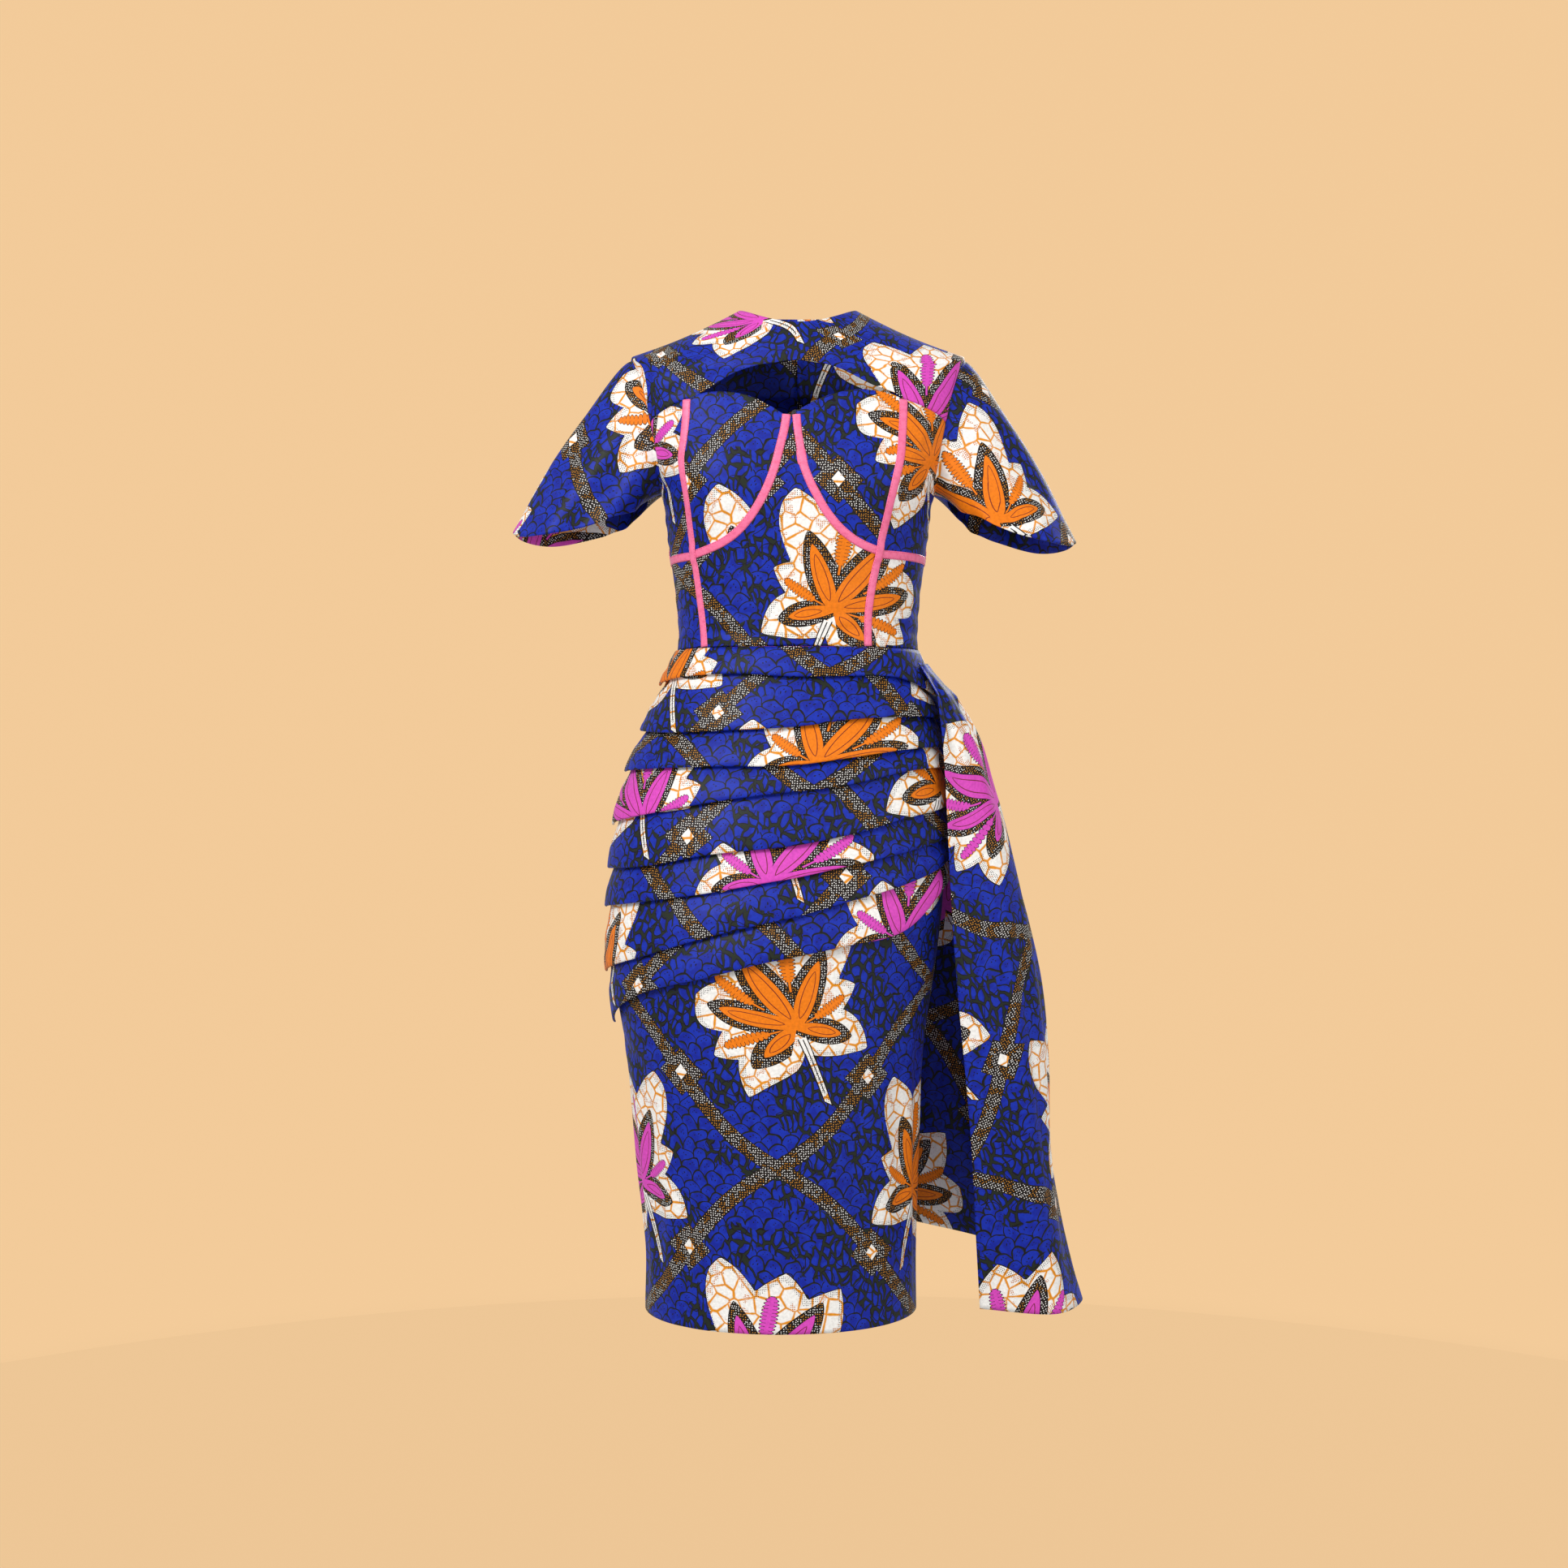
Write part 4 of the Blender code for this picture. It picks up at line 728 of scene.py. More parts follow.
def midriffPatch(rows=80, columns=190):
    # from the waist up to the cups, with the peak between them
    left, right = (float(uprightAngle(seams["cupEnd"], side)) for side in (-1, 1))
    leftLow, rightLow = (float(uprightAngle(form["waist"], side)) for side in (-1, 1))
    stations = np.array((left, *seams["cupStations"][-1], seams["cupPeak"], *seams["cupStations"][1][::-1], right))
    t = np.linspace(0, len(stations) - 1, columns)
    tops = smooth(np.column_stack((np.arange(len(stations)), stations)), t, 1)
    across = (tops - left) / (right - left)
    low = leftLow + (rightLow - leftLow) * across
    topHeight = smooth(seams["cupCurve"], tops, 1)
    s = np.linspace(0, 1, rows)[:, None]
    height = form["waist"] + (topHeight - form["waist"]) * s
    angle = low + (tops - low) * s
    angle = angle + (uprightAngle(height, -1) - angle[:, :1]) * (1 - across) ** 3 * (across < 0.5)
    angle = angle + (uprightAngle(height, 1) - angle[:, -1:]) * across ** 3 * (across >= 0.5)
    return angle, height, ()


sideFronts = {
    "side_front_left": {
        "placing": (0.0, 42.1, -320.1, 178, -37),
        "creases": [(-176, -341, -124, -331, -1.2, 5), (-178, -320, -132, -309, -1.0, 5),
                    (-181, -296, -140, -288, -0.9, 5), (-150, -272, -128, -284, -0.7, 4),
                    (-160, -346, -152, -282, -0.6, 5)],
        "cut": (0.084, 0.096), "area": 0.0067, "held": "stretched", "on": ("side_bust_left", "back_left")},
    "side_front_right": {
        "placing": (0.0, 42.1, -320.1, 178, -37),
        "creases": [(175, -343, 96, -334, -1.2, 5), (178, -322, 112, -313, -1.0, 5), (182, -297, 118, -289, -0.9, 6),
                    (140, -272, 108, -280, -0.7, 4), (158, -344, 150, -280, -0.6, 5)],
        "cut": (0.113, 0.096), "area": 0.0097, "held": "stretched", "on": ("side_bust_right", "back_right")},
}


def sideFrontPatch(side, rows=50, columns=60):
    heights = np.linspace(form["waist"], seams["sideLevel"], rows)
    near = np.abs(uprightAngle(heights, side))
    angle = near[:, None] + (90 - near)[:, None] * np.linspace(0, 1, columns)[None, :]
    heights = heights[:, None]
    return forSide(side, angle, heights, (90 - angle) * form["degree"], seams["sideLevel"] - heights)


backs = {
    "lowRows": 60, "degree": 0.0020,  # a degree is a little less near the centre back
    "back_left": {
        "middle": -180.0, "placing": (2.0, 0, -200, 136, -34),
        "creases": [(151, -338, 27, -349, -1.3, 7), (145, -314, 14, -324, -1.1, 7),
                    (145, -288, 51, -295, -0.9, 6), (176, -208, 124, -232, -1.1, 6),
                    (182, -128, 123, -96, -1.2, 10), (188, -168, 101, -206, -1.0, 9),
                    (55, -196, -11, -300, -0.8, 10), (160, -70, 49, -52, -0.9, 8)],
        "cut": (0.220, 0.425), "area": 0.0655, "held": "hung", "on": ("yoke",)},
    "back_right": {
        "middle": 180.0, "placing": (0.0, 0, -200, 70, -60),
        "creases": [(-149, -341, -37, -350, -1.2, 6), (-142, -318, -7, -330, -1.2, 7),
                    (-145, -294, -59, -300, -0.9, 6), (-181, -204, -130, -228, -1.1, 6),
                    (-187, -124, -131, -98, -1.1, 9), (-182, -172, -90, -214, -1.0, 10),
                    (-65, -190, -3, -288, -0.8, 9), (-168, -74, -51, -50, -0.9, 8)],
        "cut": (0.220, 0.425), "area": 0.0655, "held": "hung", "on": ("yoke",)},
}


def backPatch(side, columns=110):
    heights = np.concatenate((np.linspace(form["waist"], armhole["foot"], backs["lowRows"])[:-1],
                              armholeHeights(), neckHeights))
    edge = 90 + armholeReach(heights)[:, None]
    angle = edge + (180 - edge) * np.linspace(0, 1, columns)
    return forSide(side, angle, heights[:, None], (angle - edge) * form["degree"], (180 - angle) * backs["degree"])


pieces = {"yoke": panel("yoke", yokePatch(), yoke)}
for side, word in ((-1, "left"), (1, "right")):
    for kind, group, patch in (("cup_", cups, cupPatch), ("back_", backs, backPatch),
                               ("side_bust_", sideBusts, sideBustPatch), ("side_front_", sideFronts, sideFrontPatch)):
        pieces[kind + word] = panel(kind + word, patch(side), group[kind + word])
pieces["midriff"] = panel("midriff", midriffPatch(), midriff)
print("bodice sewn")

# sleeves
sleeves = {
    "rows": 60, "around": 150, "halfDepth": 0.056, "sag": 0.021, "cap": 0.012, "folds": 3, "foldDepth": 0.004,
    "hemFlare": (0.0135, 0.0150, 0.0045),
    # inset from the armhole's edge and lift of the rings that are sewn into it
    "sewnRings": ((0.0, 0.0008), (0.0012, 0.0014), (0.0030, 0.0016)),
    # side, tip x, tip z, inner x, inner z
    "sleeve_left": {
        "hem": (-1, -0.3000, -0.2300, -0.1590, -0.1960),
        "placing": (-8.0, -51.7, 98.2, -68.2, 107.2),
        "creases": [(44, -4, 22, 84, -2.4, 10), (8, 2, -2, 96, 1.8, 9), (-26, -2, -20, 118, -2.2, 11),
                    (-64, 0, -46, 128, 1.6, 12), (-104, -8, -74, 126, -2.0, 12), (-140, -6, -104, 110, 1.6, 12),
                    (-176, -6, -128, 100, -2.4, 12), (-214, -8, -154, 84, 1.8, 11), (-244, -10, -178, 74, -2.2, 10)],
        "cut": (0.330, 0.220), "area": 0.0455, "held": "hung", "on": ("yoke", "side_bust_left", "back_left")},
    "sleeve_right": {
        "hem": (1, 0.2930, -0.2400, 0.1590, -0.1955),
        "placing": (0.0, -6.0, 15.0, 16, 142),
        "creases": [(-42, -6, -22, 78, -2.2, 10), (-10, 0, 2, 88, 1.6, 9), (28, -4, 18, 112, -2.4, 11),
                    (68, -2, 44, 126, 1.8, 11), (102, -8, 78, 120, -2.0, 12), (142, -8, 100, 112, 1.6, 12),
                    (172, -6, 130, 96, -2.2, 12), (208, -8, 150, 88, 1.8, 11), (238, -12, 174, 70, -2.0, 10)],
        "cut": (0.323, 0.224), "area": 0.0450, "held": "hung", "on": ("yoke", "side_bust_right", "back_right")},
}


def sleeveGrid(side, tipX, tipZ, innerX, innerZ):
    # rings from the armhole to the hem; each starts at the underarm seam and goes round by the back
    lap = np.linspace(-pi, pi, sleeves["around"] + 1)
    up = np.sign(np.cos(lap)) * np.abs(np.cos(lap)) ** (2 / armhole["power"])
    fore = np.where(lap > 0, 1.0, -1.0)
    height = armhole["centre"] + armhole["halfHeight"] * up
    depth = smooth(form["sections"], np.minimum(height, form["shoulder"]), 3)

    def ring(inset, lift):
        shrunk = armholeReach(height) * (1 - inset / (radians(armhole["halfAngle"]) * depth))
        moved = armhole["centre"] + (height - armhole["centre"]) * (1 - inset / armhole["halfHeight"])
        return offBody(side * (90 - fore * shrunk), moved, np.full(lap.shape, lift))

    across = fore * np.sqrt(np.maximum(0.0, 1 - up * up))
    turn = np.arctan2(across, up)
    ripple = sleeves["foldDepth"] * np.cos(sleeves["folds"] * 2 * turn) * np.abs(across)
    hem = np.stack(((tipX + innerX) / 2 + (tipX - innerX) / 2 * up,
                    -sleeves["halfDepth"] * across - ripple * fore,
                    (tipZ + innerZ) / 2 + (tipZ - innerZ) / 2 * up - sleeves["sag"] * np.abs(across)), axis=-1)
    hem += (hem - hem.mean(axis=0)) * np.array(sleeves["hemFlare"])
    sewn = np.array([ring(inset, lift) for inset, lift in sleeves["sewnRings"]])
    t = np.linspace(0, 1, sleeves["rows"])[:, None, None]
    grid = sewn[-1] + (hem - sewn[-1]) * t
    # the cap stands up steeply from the armhole and flattens towards the hem
    grid[..., 2] += (sleeves["cap"] * (1 - (1 - t) ** 12) * (1 - t**4))[..., 0] * np.maximum(0.0, up)
    return np.concatenate((sewn[:-1], grid))


def pushOut(grid, lift):
    # moves a free-standing grid along its own normals
    return grid + unit(np.cross(np.gradient(grid, axis=1), np.gradient(grid, axis=0))) * lift[..., None]


def sleeve(name):
    shape = sleeves[name]
    side = shape["hem"][0]
    grid = sleeveGrid(*shape["hem"])
    middle = int(grid.shape[1] * 0.75)
    place = gridPlace(grid[::-1], middle, 0)[::-1]
    place[..., 0] *= -side
    place = easeFlat(grid, place)
    fade = np.clip(place[..., 1].max() - place[..., 1], 0, 0.01) / 0.01  # creases die away at the armhole
    grid = pushOut(grid, -side * creaseLift(place, shape["creases"]) * fade)
    if side < 0:
        grid, place = grid[::-1], place[::-1]
    return clothMesh(name + "_cloth", grid, toPrint(place, *shape["placing"]), cloth)


for name in ("sleeve_left", "sleeve_right"):
    pieces[name] = sleeve(name)
print("sleeves set in")

# hip drape
drape = {
    "columns": 190, "outerFace": 0.0012,
    "angles": (-89.4, -45.0, -20.0, 0.0, 20.0, 45.0, 68.0, 79.0),
    # lower edge of each fold at those angles; the last is the drape's hem
    "folds": (
        (-0.3965, -0.388, -0.387, -0.390, -0.389, -0.390, -0.402, -0.408),
        (-0.4440, -0.447, -0.4445, -0.441, -0.433, -0.430, -0.430, -0.434),
        (-0.4870, -0.483, -0.481, -0.480, -0.472, -0.463, -0.460, -0.461),
        (-0.5415, -0.527, -0.5155, -0.507, -0.499, -0.485, -0.481, -0.482),
        (-0.5865, -0.580, -0.568, -0.561, -0.549, -0.532, -0.523, -0.519),
        (-0.6270, -0.616, -0.606, -0.594, -0.580, -0.566, -0.555, -0.549),
        (-0.6940, -0.670, -0.650, -0.634, -0.616, -0.598, -0.582, -0.573),
        (-0.7470, -0.706, -0.690, -0.6735, -0.660, -0.645, -0.606, -0.594)),
    "inner": 0.0024, "outer": 0.0092, "first": 0.0086, "return": 0.0064, "tuck": 0.005, "tuckShare": 0.3,
    "turn": 0.0032, "swell": (0.0015, 0.8), "lean": (1.02, 0.85), "topGap": 0.0008, "roundedFrom": 0.004,
    # each fold's own place on the print
    "placing": [(5.0, 30.3, -389.6, 194, 179), (3.0, -75.5, -428.6, 97, 89.5), (0.0, 36.8, -480.4, 178, -37),
                (0.0, -149.7, -546.4, -178, -37), (0.0, -92.3, -556.3, -97, -89.5), (0.0, -2.5, -598.8, -16, -216),
                (0.0, 65.8, -591.5, 291, 268.5), (0.0, 135.0, -657.0, 372, 142)],
    "creases": [
        (-186, -374, -150, -382, -1.2, 5), (-192, -414, -140, -424, -1.6, 6), (-200, -436, -160, -438, -1.0, 5),
        (-206, -458, -148, -468, -1.5, 7), (-214, -500, -150, -506, -1.4, 7), (-220, -524, -182, -522, -1.0, 5),
        (-226, -560, -162, -560, -1.6, 8), (-228, -606, -170, -598, -1.5, 8), (-230, -654, -160, -638, -1.8, 9),
        (-231, -684, -180, -668, -1.2, 7), (-226, -716, -176, -690, -1.6, 8), (-96, -628, -30, -612, -1.0, 8),
        (182, -384, 128, -378, -1.1, 6), (190, -420, 130, -420, -1.5, 6), (196, -446, 134, -452, -1.5, 6),
        (200, -470, 126, -482, -1.7, 7), (204, -498, 118, -516, -1.7, 8), (206, -526, 104, -552, -1.8, 8),
        (206, -552, 110, -578, -1.6, 8), (206, -580, 120, -606, -1.8, 9), (150, -604, 70, -630, -1.2, 9),
        (-40, -520, 34, -508, -0.9, 8), (-70, -458, 4, -458, -0.8, 7), (20, -412, 84, -406, -0.8, 6)],
    "cut": (0.460, 0.510), "area": 0.1900, "held": "folded", "on": ("skirt_front",),
}


def foldHeight(fold, angle):
    if fold == 0:
        return np.full(angle.shape, form["waist"] - drape["topGap"])
    return smooth(np.column_stack((drape["angles"], drape["folds"][fold - 1])), angle, 1)


def drapeGrid():
    # rows from the hem up: each fold leans out, turns under at its lower edge, and the next starts behind it
    angle = np.linspace(drape["angles"][0], drape["angles"][-1], drape["columns"])
    radius = (drape["outer"] - drape["return"]) / 2
    last = len(drape["folds"])
    heights, lifts, owners = [], [], []

    def addRow(height, lift, owner):
        heights.append(height)
        lifts.append(lift)
        owners.append(owner)

    for fold in range(1, last + 1):
        top, low = foldHeight(fold - 1, angle), foldHeight(fold, angle)
        outer = np.full(angle.shape, drape["first"] if fold == 1 else drape["outer"])
        start = top
        inner = np.full(angle.shape, drape["inner"])
        if fold > 1:
            start = top + np.minimum(drape["tuck"], drape["tuckShare"] * (top - low))
            inner = np.minimum(inner, back - drape["turn"])
            for bend in (0.25, 0.75):
                addRow(start + drape["topGap"] * sin(pi * bend), back + (inner - back) * (1 - cos(pi * bend)) / 2,
                       fold - 1)
        for share in np.concatenate((np.linspace(0, 0.2, 3)[:-1], np.linspace(0.2, 1, 10))):
            fromTop = np.clip((start + (low + radius - start) * share - top) / (low - top), 0, 1)
            swell = drape["swell"][0] * np.sin(pi * fromTop) ** drape["swell"][1]
            out = np.clip(fromTop * drape["lean"][0], 0, 1) ** drape["lean"][1]
            addRow(start + (low + radius - start) * share, inner + (outer - inner) * out + swell, fold)
        for bend in np.radians((30, 60, 90, 120, 150)):
            addRow(low + radius * (1 - sin(bend)), outer - radius * (1 - cos(bend)), fold)
        back = outer - 2 * radius
        if fold < last:
            addRow(low + radius, back, fold)
    return angle, *(np.array(rows)[::-1] for rows in (heights, lifts, owners))


def drapeCloth():
    angle, heights, lifts, owners = drapeGrid()
    place = clothPlace(angle, heights)
    free = np.clip((lifts - drape["inner"]) / drape["roundedFrom"], 0, 1)  # no creases where a fold lies flat
    grid = offBody(angle, heights, lifts + drape["outerFace"] + creaseLift(place, drape["creases"]) * free)
    printed = np.zeros(place.shape)
    for fold, placing in enumerate(drape["placing"], start=1):
        printed[owners == fold] = toPrint(place[owners == fold], *placing)
    return clothMesh("drape_cloth", grid, printed, cloth)


pieces["drape"] = drapeCloth()
print("drape pleated")

# skirt
skirts = {
    # columns; rows below and above the level where the drape covers it; gap under the waist seam
    "columns": 150, "rows": (110, 45), "covered": -0.50, "topGap": 0.0005,
    "skirt_front": {
        "first": -90.0, "last": 90.0, "placing": (0.0, 0, -884, 0, 0),
        "creases": [(28, -900, 31, -1005, -1.3, 5), (-152, -778, -140, -1040, -3.1, 15),
                    (-98, -858, -104, -1062, -2.0, 13), (-44, -930, -52, -1062, -1.7, 12),
                    (78, -790, 90, -1040, -2.6, 15), (132, -716, 146, -1010, -3.4, 15),
                    (176, -700, 182, -1050, -3.6, 12), (-190, -812, -180, -1058, -3.4, 12),
                    (36, -694, 108, -742, -1.7, 10), (-34, -700, -96, -772, -1.7, 11),
                    (-214, -768, -150, -800, -2.0, 8), (188, -640, 150, -700, -2.1, 9),
                    (4, -1010, -10, -1062, 0.8, 9)],
        "cut": (0.468, 0.705), "area": 0.3000, "held": "hung",
        "on": ("midriff", "side_front_left", "side_front_right")},
    "skirt_back": {
        "first": 90.0, "last": 270.0, "middle": 180.0,
        "placing": (0.0, 0, -620, 58, 30),
        "creases": [(-160, -390, -59, -416, -2.7, 10), (191, -388, 36, -420, -2.5, 10),
                    (-4, -372, -6, -452, -1.4, 8), (-187, -638, -57, -660, -3.3, 12),
                    (179, -642, 53, -664, -3.0, 12), (-152, -684, -45, -698, -2.2, 10),
                    (155, -688, 56, -704, -2.1, 10), (-144, -760, -139, -1040, -3.6, 16),
                    (-93, -716, -81, -1036, -4.2, 17), (-28, -742, -34, -1050, -3.3, 15),
                    (30, -732, 19, -1044, -3.8, 17), (90, -712, 77, -1038, -4.2, 17),
                    (168, -756, 134, -1046, -3.6, 15), (-216, -560, -211, -640, -1.8, 10),
                    (226, -552, 203, -640, -2.0, 10)],
        "cut": (0.541, 0.705), "area": 0.3070, "held": "hung", "on": ("back_left", "back_right")},
}


def skirtPatch(first, last):
    below, above = skirts["rows"]
    heights = np.concatenate((np.linspace(form["hem"], skirts["covered"], below)[:-1],
                              np.linspace(skirts["covered"], form["waist"] - skirts["topGap"], above)))
    angle = np.linspace(first, last, skirts["columns"])[None, :]
    return forSide(1, angle, heights[:, None], (angle - first) * form["degree"], (last - angle) * form["degree"])


for name in ("skirt_front", "skirt_back"):
    pieces[name] = panel(name, skirtPatch(skirts[name]["first"], skirts[name]["last"]), skirts[name])
print("skirt sewn")

# cascade
cascade = {
    "columns": 150, "rows": 150, "outerFace": 0.0014,
    "topHeight": -0.374, "topAngles": (64.0, 112.0), "topLift": (0.0088, 0.0024), "topRows": 12, "gathers": 5,
    "gatherDepth": 0.0022, "gatherReach": 0.20, "levelTo": 0.45,
    # front z, front x, front y, ridge x, ridge y, outer x, outer y, turn x, turn y, rear x, rear y, rear z
    "sections": np.array([
        (-0.405, 0.140, -0.056, 0.158, -0.030, 0.165, 0.002, 0.152, 0.040, 0.126, 0.068, -0.405),
        (-0.450, 0.146, -0.059, 0.179, -0.035, 0.192, 0.005, 0.175, 0.052, 0.130, 0.085, -0.445),
        (-0.500, 0.150, -0.060, 0.193, -0.038, 0.207, 0.006, 0.190, 0.062, 0.134, 0.098, -0.490),
        (-0.570, 0.154, -0.060, 0.212, -0.040, 0.226, 0.008, 0.206, 0.075, 0.136, 0.112, -0.555),
        (-0.650, 0.159, -0.057, 0.226, -0.042, 0.247, 0.012, 0.222, 0.088, 0.134, 0.122, -0.630),
        (-0.720, 0.165, -0.053, 0.234, -0.043, 0.261, 0.018, 0.236, 0.098, 0.132, 0.128, -0.690),
        (-0.800, 0.173, -0.047, 0.244, -0.042, 0.267, 0.023, 0.242, 0.108, 0.126, 0.134, -0.765),
        (-0.880, 0.180, -0.040, 0.254, -0.038, 0.267, 0.025, 0.240, 0.118, 0.118, 0.140, -0.840),
        (-0.960, 0.185, -0.030, 0.262, -0.036, 0.278, 0.024, 0.246, 0.128, 0.108, 0.146, -0.910),
        (-1.047, 0.191, -0.018, 0.270, -0.038, 0.301, 0.012, 0.258, 0.138, 0.098, 0.150, -0.983)]),
    "placing": (-20.0, 67.8, -165.4, -178, -37),
    "creases": [(8, -8, 16, -110, -1.6, 5), (26, -6, 40, -150, -1.9, 6), (44, -6, 66, -120, -1.5, 5),
                (60, -8, 92, -170, -1.8, 7), (78, -6, 120, -130, -1.3, 6), (94, -8, 150, -150, -1.2, 7),
                (14, -150, 22, -360, -2.7, 9), (40, -180, 44, -470, -2.4, 10), (70, -230, 84, -640, -4.1, 11),
                (26, -420, 34, -668, -3.2, 12), (58, -500, 62, -690, 2.2, 12), (112, -210, 124, -500, -3.5, 13),
                (152, -300, 168, -660, -3.5, 14), (190, -220, 206, -480, -3.2, 13), (236, -380, 252, -680, -4.1, 15),
                (226, -180, 262, -420, -3.2, 13), (290, -330, 318, -600, -3.8, 15), (346, -380, 368, -620, -3.2, 13),
                (404, -500, 418, -640, -2.7, 12), (128, -560, 136, -700, 2.4, 12)],
    "cut": (0.455, 0.712), "area": 0.2130, "held": "gathered", "on": ("skirt_front", "skirt_back"),
}


def cascadeGrid():
    t = np.linspace(0, 1, cascade["columns"])
    angle = cascade["topAngles"][0] + (cascade["topAngles"][1] - cascade["topAngles"][0]) * t
    gather = cascade["gatherDepth"] * (1 - np.cos(2 * pi * cascade["gathers"] * t)) / 2
    lift = cascade["topLift"][0] + (cascade["topLift"][1] - cascade["topLift"][0]) * t + gather
    rows = [offBody(angle, np.full(t.shape, cascade["topHeight"]), lift)]
    table = np.column_stack((np.arange(len(cascade["sections"])), cascade["sections"]))
    for step in np.linspace(0, len(cascade["sections"]) - 1, cascade["rows"]):
        line = np.array([smooth(table, step, c) for c in range(1, 13)])
        plan = line[1:11].reshape(5, 2)
        along = lengthAlong(plan)
        curve = np.column_stack((along / along[-1], plan))
        fade = max(0.0, 1 - (cascade["sections"][0, 0] - line[0]) / cascade["gatherReach"])
        ripple = cascade["gatherDepth"] * np.cos(2 * pi * cascade["gathers"] * t) * fade
        climb = np.clip((t - cascade["levelTo"]) / (1 - cascade["levelTo"]), 0, 1)
        rows.append(np.stack((smooth(curve, t, 1) + ripple, smooth(curve, t, 2),
                              line[0] + (line[11] - line[0]) * climb), axis=-1))
    top, below = rows[0], rows[1]
    between = [top + (below - top) * share for share in np.linspace(0, 1, cascade["topRows"])[1:-1]]
    return np.array([top, *between, *rows[1:]])[::-1]


def cascadeCloth():
    grid = cascadeGrid()
    place = gridPlace(grid, refRow=-1)
    grid = pushOut(grid, cascade["outerFace"] + creaseLift(place, cascade["creases"]))
    return clothMesh("cascade_cloth", grid, toPrint(place, *cascade["placing"]), cloth)


pieces["cascade"] = cascadeCloth()
print("cascade hung")

# tapes
tapes = {
    "width": 0.0086, "wall": 0.0005, "degree": 0.0021, "edgeLift": 0.0020, "crownLift": 0.0027, "across": 9,
    "runUnder": 0.0030, "overLap": 0.0013, "radius": 0.118, "stop": 0.4, "cupJoin": {-1: -5.0, 1: 0.6},
    # angle and height of the middle of each cup tape above its join with the cup curve
    "cupTops": {-1: np.array(((-2.2, -0.1178), (-2.5, -0.1300), (-3.3, -0.1447), (-5.0, -0.1646))),
                1: np.array(((-0.35, -0.1178), (-0.25, -0.1300), (0.0, -0.1447), (0.6, -0.1639)))},
    "backAngle": 98.0, "backRise": 0.030,
    "stitchLength": 0.0019, "stitchPitch": 0.0030, "stitchRadius": 0.00022, "stitchFromEdge": 0.0010,
    "stitchLift": 0.00045, "stitchMargin": 0.0015,
    # gaps left at the waist, at the top and at the armhole's foot
    "waistGap": 0.0005, "topGap": 0.0015, "armholeGap": 0.004,
    # how far above the side tapes an upright crosses them, in front and behind, and how near it starts to rise
    "crossing": (0.001, 0.0055), "rise": (0.0115, 0.0055),
    # rings of a stitch: place along it, share of its thickness
    "stitchRings": ((-0.5, 0.35), (-0.3, 1.0), (0.3, 1.0), (0.5, 0.35)), "stitchSides": 6,
}


def evenPath(angle, height, reach=14):
    # points a millimetre apart along a path, with its corners eased
    along = lengthAlong(np.column_stack((angle * tapes["degree"], height)))
    at = np.linspace(0, along[-1], int(along[-1] / 0.001))
    eased = []
    for line in (np.interp(at, along, angle), np.interp(at, along, height)):
        ends = np.concatenate((2 * line[0] - line[reach:0:-1], line, 2 * line[-1] - line[-2:-reach - 2:-1]))
        eased.append(np.convolve(ends, np.ones(2 * reach + 1) / (2 * reach + 1), "valid"))
    return tuple(eased)


def tapePaths():
    # the angles and heights that the middle of each tape runs through
    clear = np.degrees((tapes["width"] / 2 - tapes["runUnder"]) / tapes["radius"])
    waistEnd = form["waist"] + tapes["waistGap"]
    paths = {}
    for side, word in ((-1, "left"), (1, "right")):
        h = np.linspace(waistEnd, seams["tapeTop"] - tapes["topGap"], 90)
        paths[f"tape_upright_{word}"] = (uprightAngle(h, side), h)
        near = abs(float(uprightAngle(seams["cupEnd"], side))) - clear
        first = tapes["cupJoin"][side]
        a = first + (side * near - first) * np.linspace(0, 1, 90) ** 1.4
        tops = tapes["cupTops"][side]
        fall = np.linspace(tops[0, 1], float(smooth(seams["cupCurve"], first, 1)), 24)[:-1]
        lean = smooth(np.column_stack((-tops[:, 1], tops[:, 0])), -fall, 1)
        paths[f"tape_cup_{word}"] = evenPath(np.concatenate((lean, a)),
                                             np.concatenate((fall, smooth(seams["cupCurve"], a, 1))))
        far = abs(float(uprightAngle(seams["sideLevel"], side))) + clear
        a = side * np.linspace(far, 90 - tapes["stop"], 30)
        paths[f"tape_side_{word}"] = (a, np.full(a.shape, seams["sideLevel"]))
        a = np.linspace(90 + tapes["stop"], 180 - tapes["stop"], 70)
        paths[f"tape_back_{word}"] = (side * a, seams["sideLevel"] + tapes["backRise"] * ((a - 90) / 90) ** 0.7)
        h = np.linspace(waistEnd, armhole["foot"] - tapes["armholeGap"], 60)
        paths[f"tape_back_upright_{word}"] = (np.full(h.shape, side * tapes["backAngle"]), h)
    return paths


def tapeRise(name, height):
    # the upright tapes are sewn on last and ride over the ones that they cross
    if "upright" not in name:
        return np.zeros(height.shape)
    crossing = seams["sideLevel"] + tapes["crossing"]["back" in name]
    near = np.clip((tapes["rise"][0] - np.abs(height - crossing)) / tapes["rise"][1], 0, 1)
    return tapes["overLap"] * near * near * (3 - 2 * near)


def tapeStrip(angle, height, asides, lifts, rise):
    # points at several distances to the side of a path on the body
    spine = onBody(angle, height)
    ahead = np.gradient(spine, axis=0)
    perAngle = onBody(angle + 0.5, height) - onBody(angle - 0.5, height)
    perHeight = (onBody(angle, height + 0.0005) - onBody(angle, height - 0.0005)) * 1000
    normal = np.cross(perAngle, perHeight)
    across = unit(np.cross(normal, ahead))
    basis = np.stack((perAngle, perHeight), axis=-1)
    move = np.einsum("nij,nj->ni", np.linalg.pinv(basis), across)
    return np.array([offBody(angle + move[:, 0] * aside, height + move[:, 1] * aside, lift + rise)
                     for aside, lift in zip(asides, lifts)])


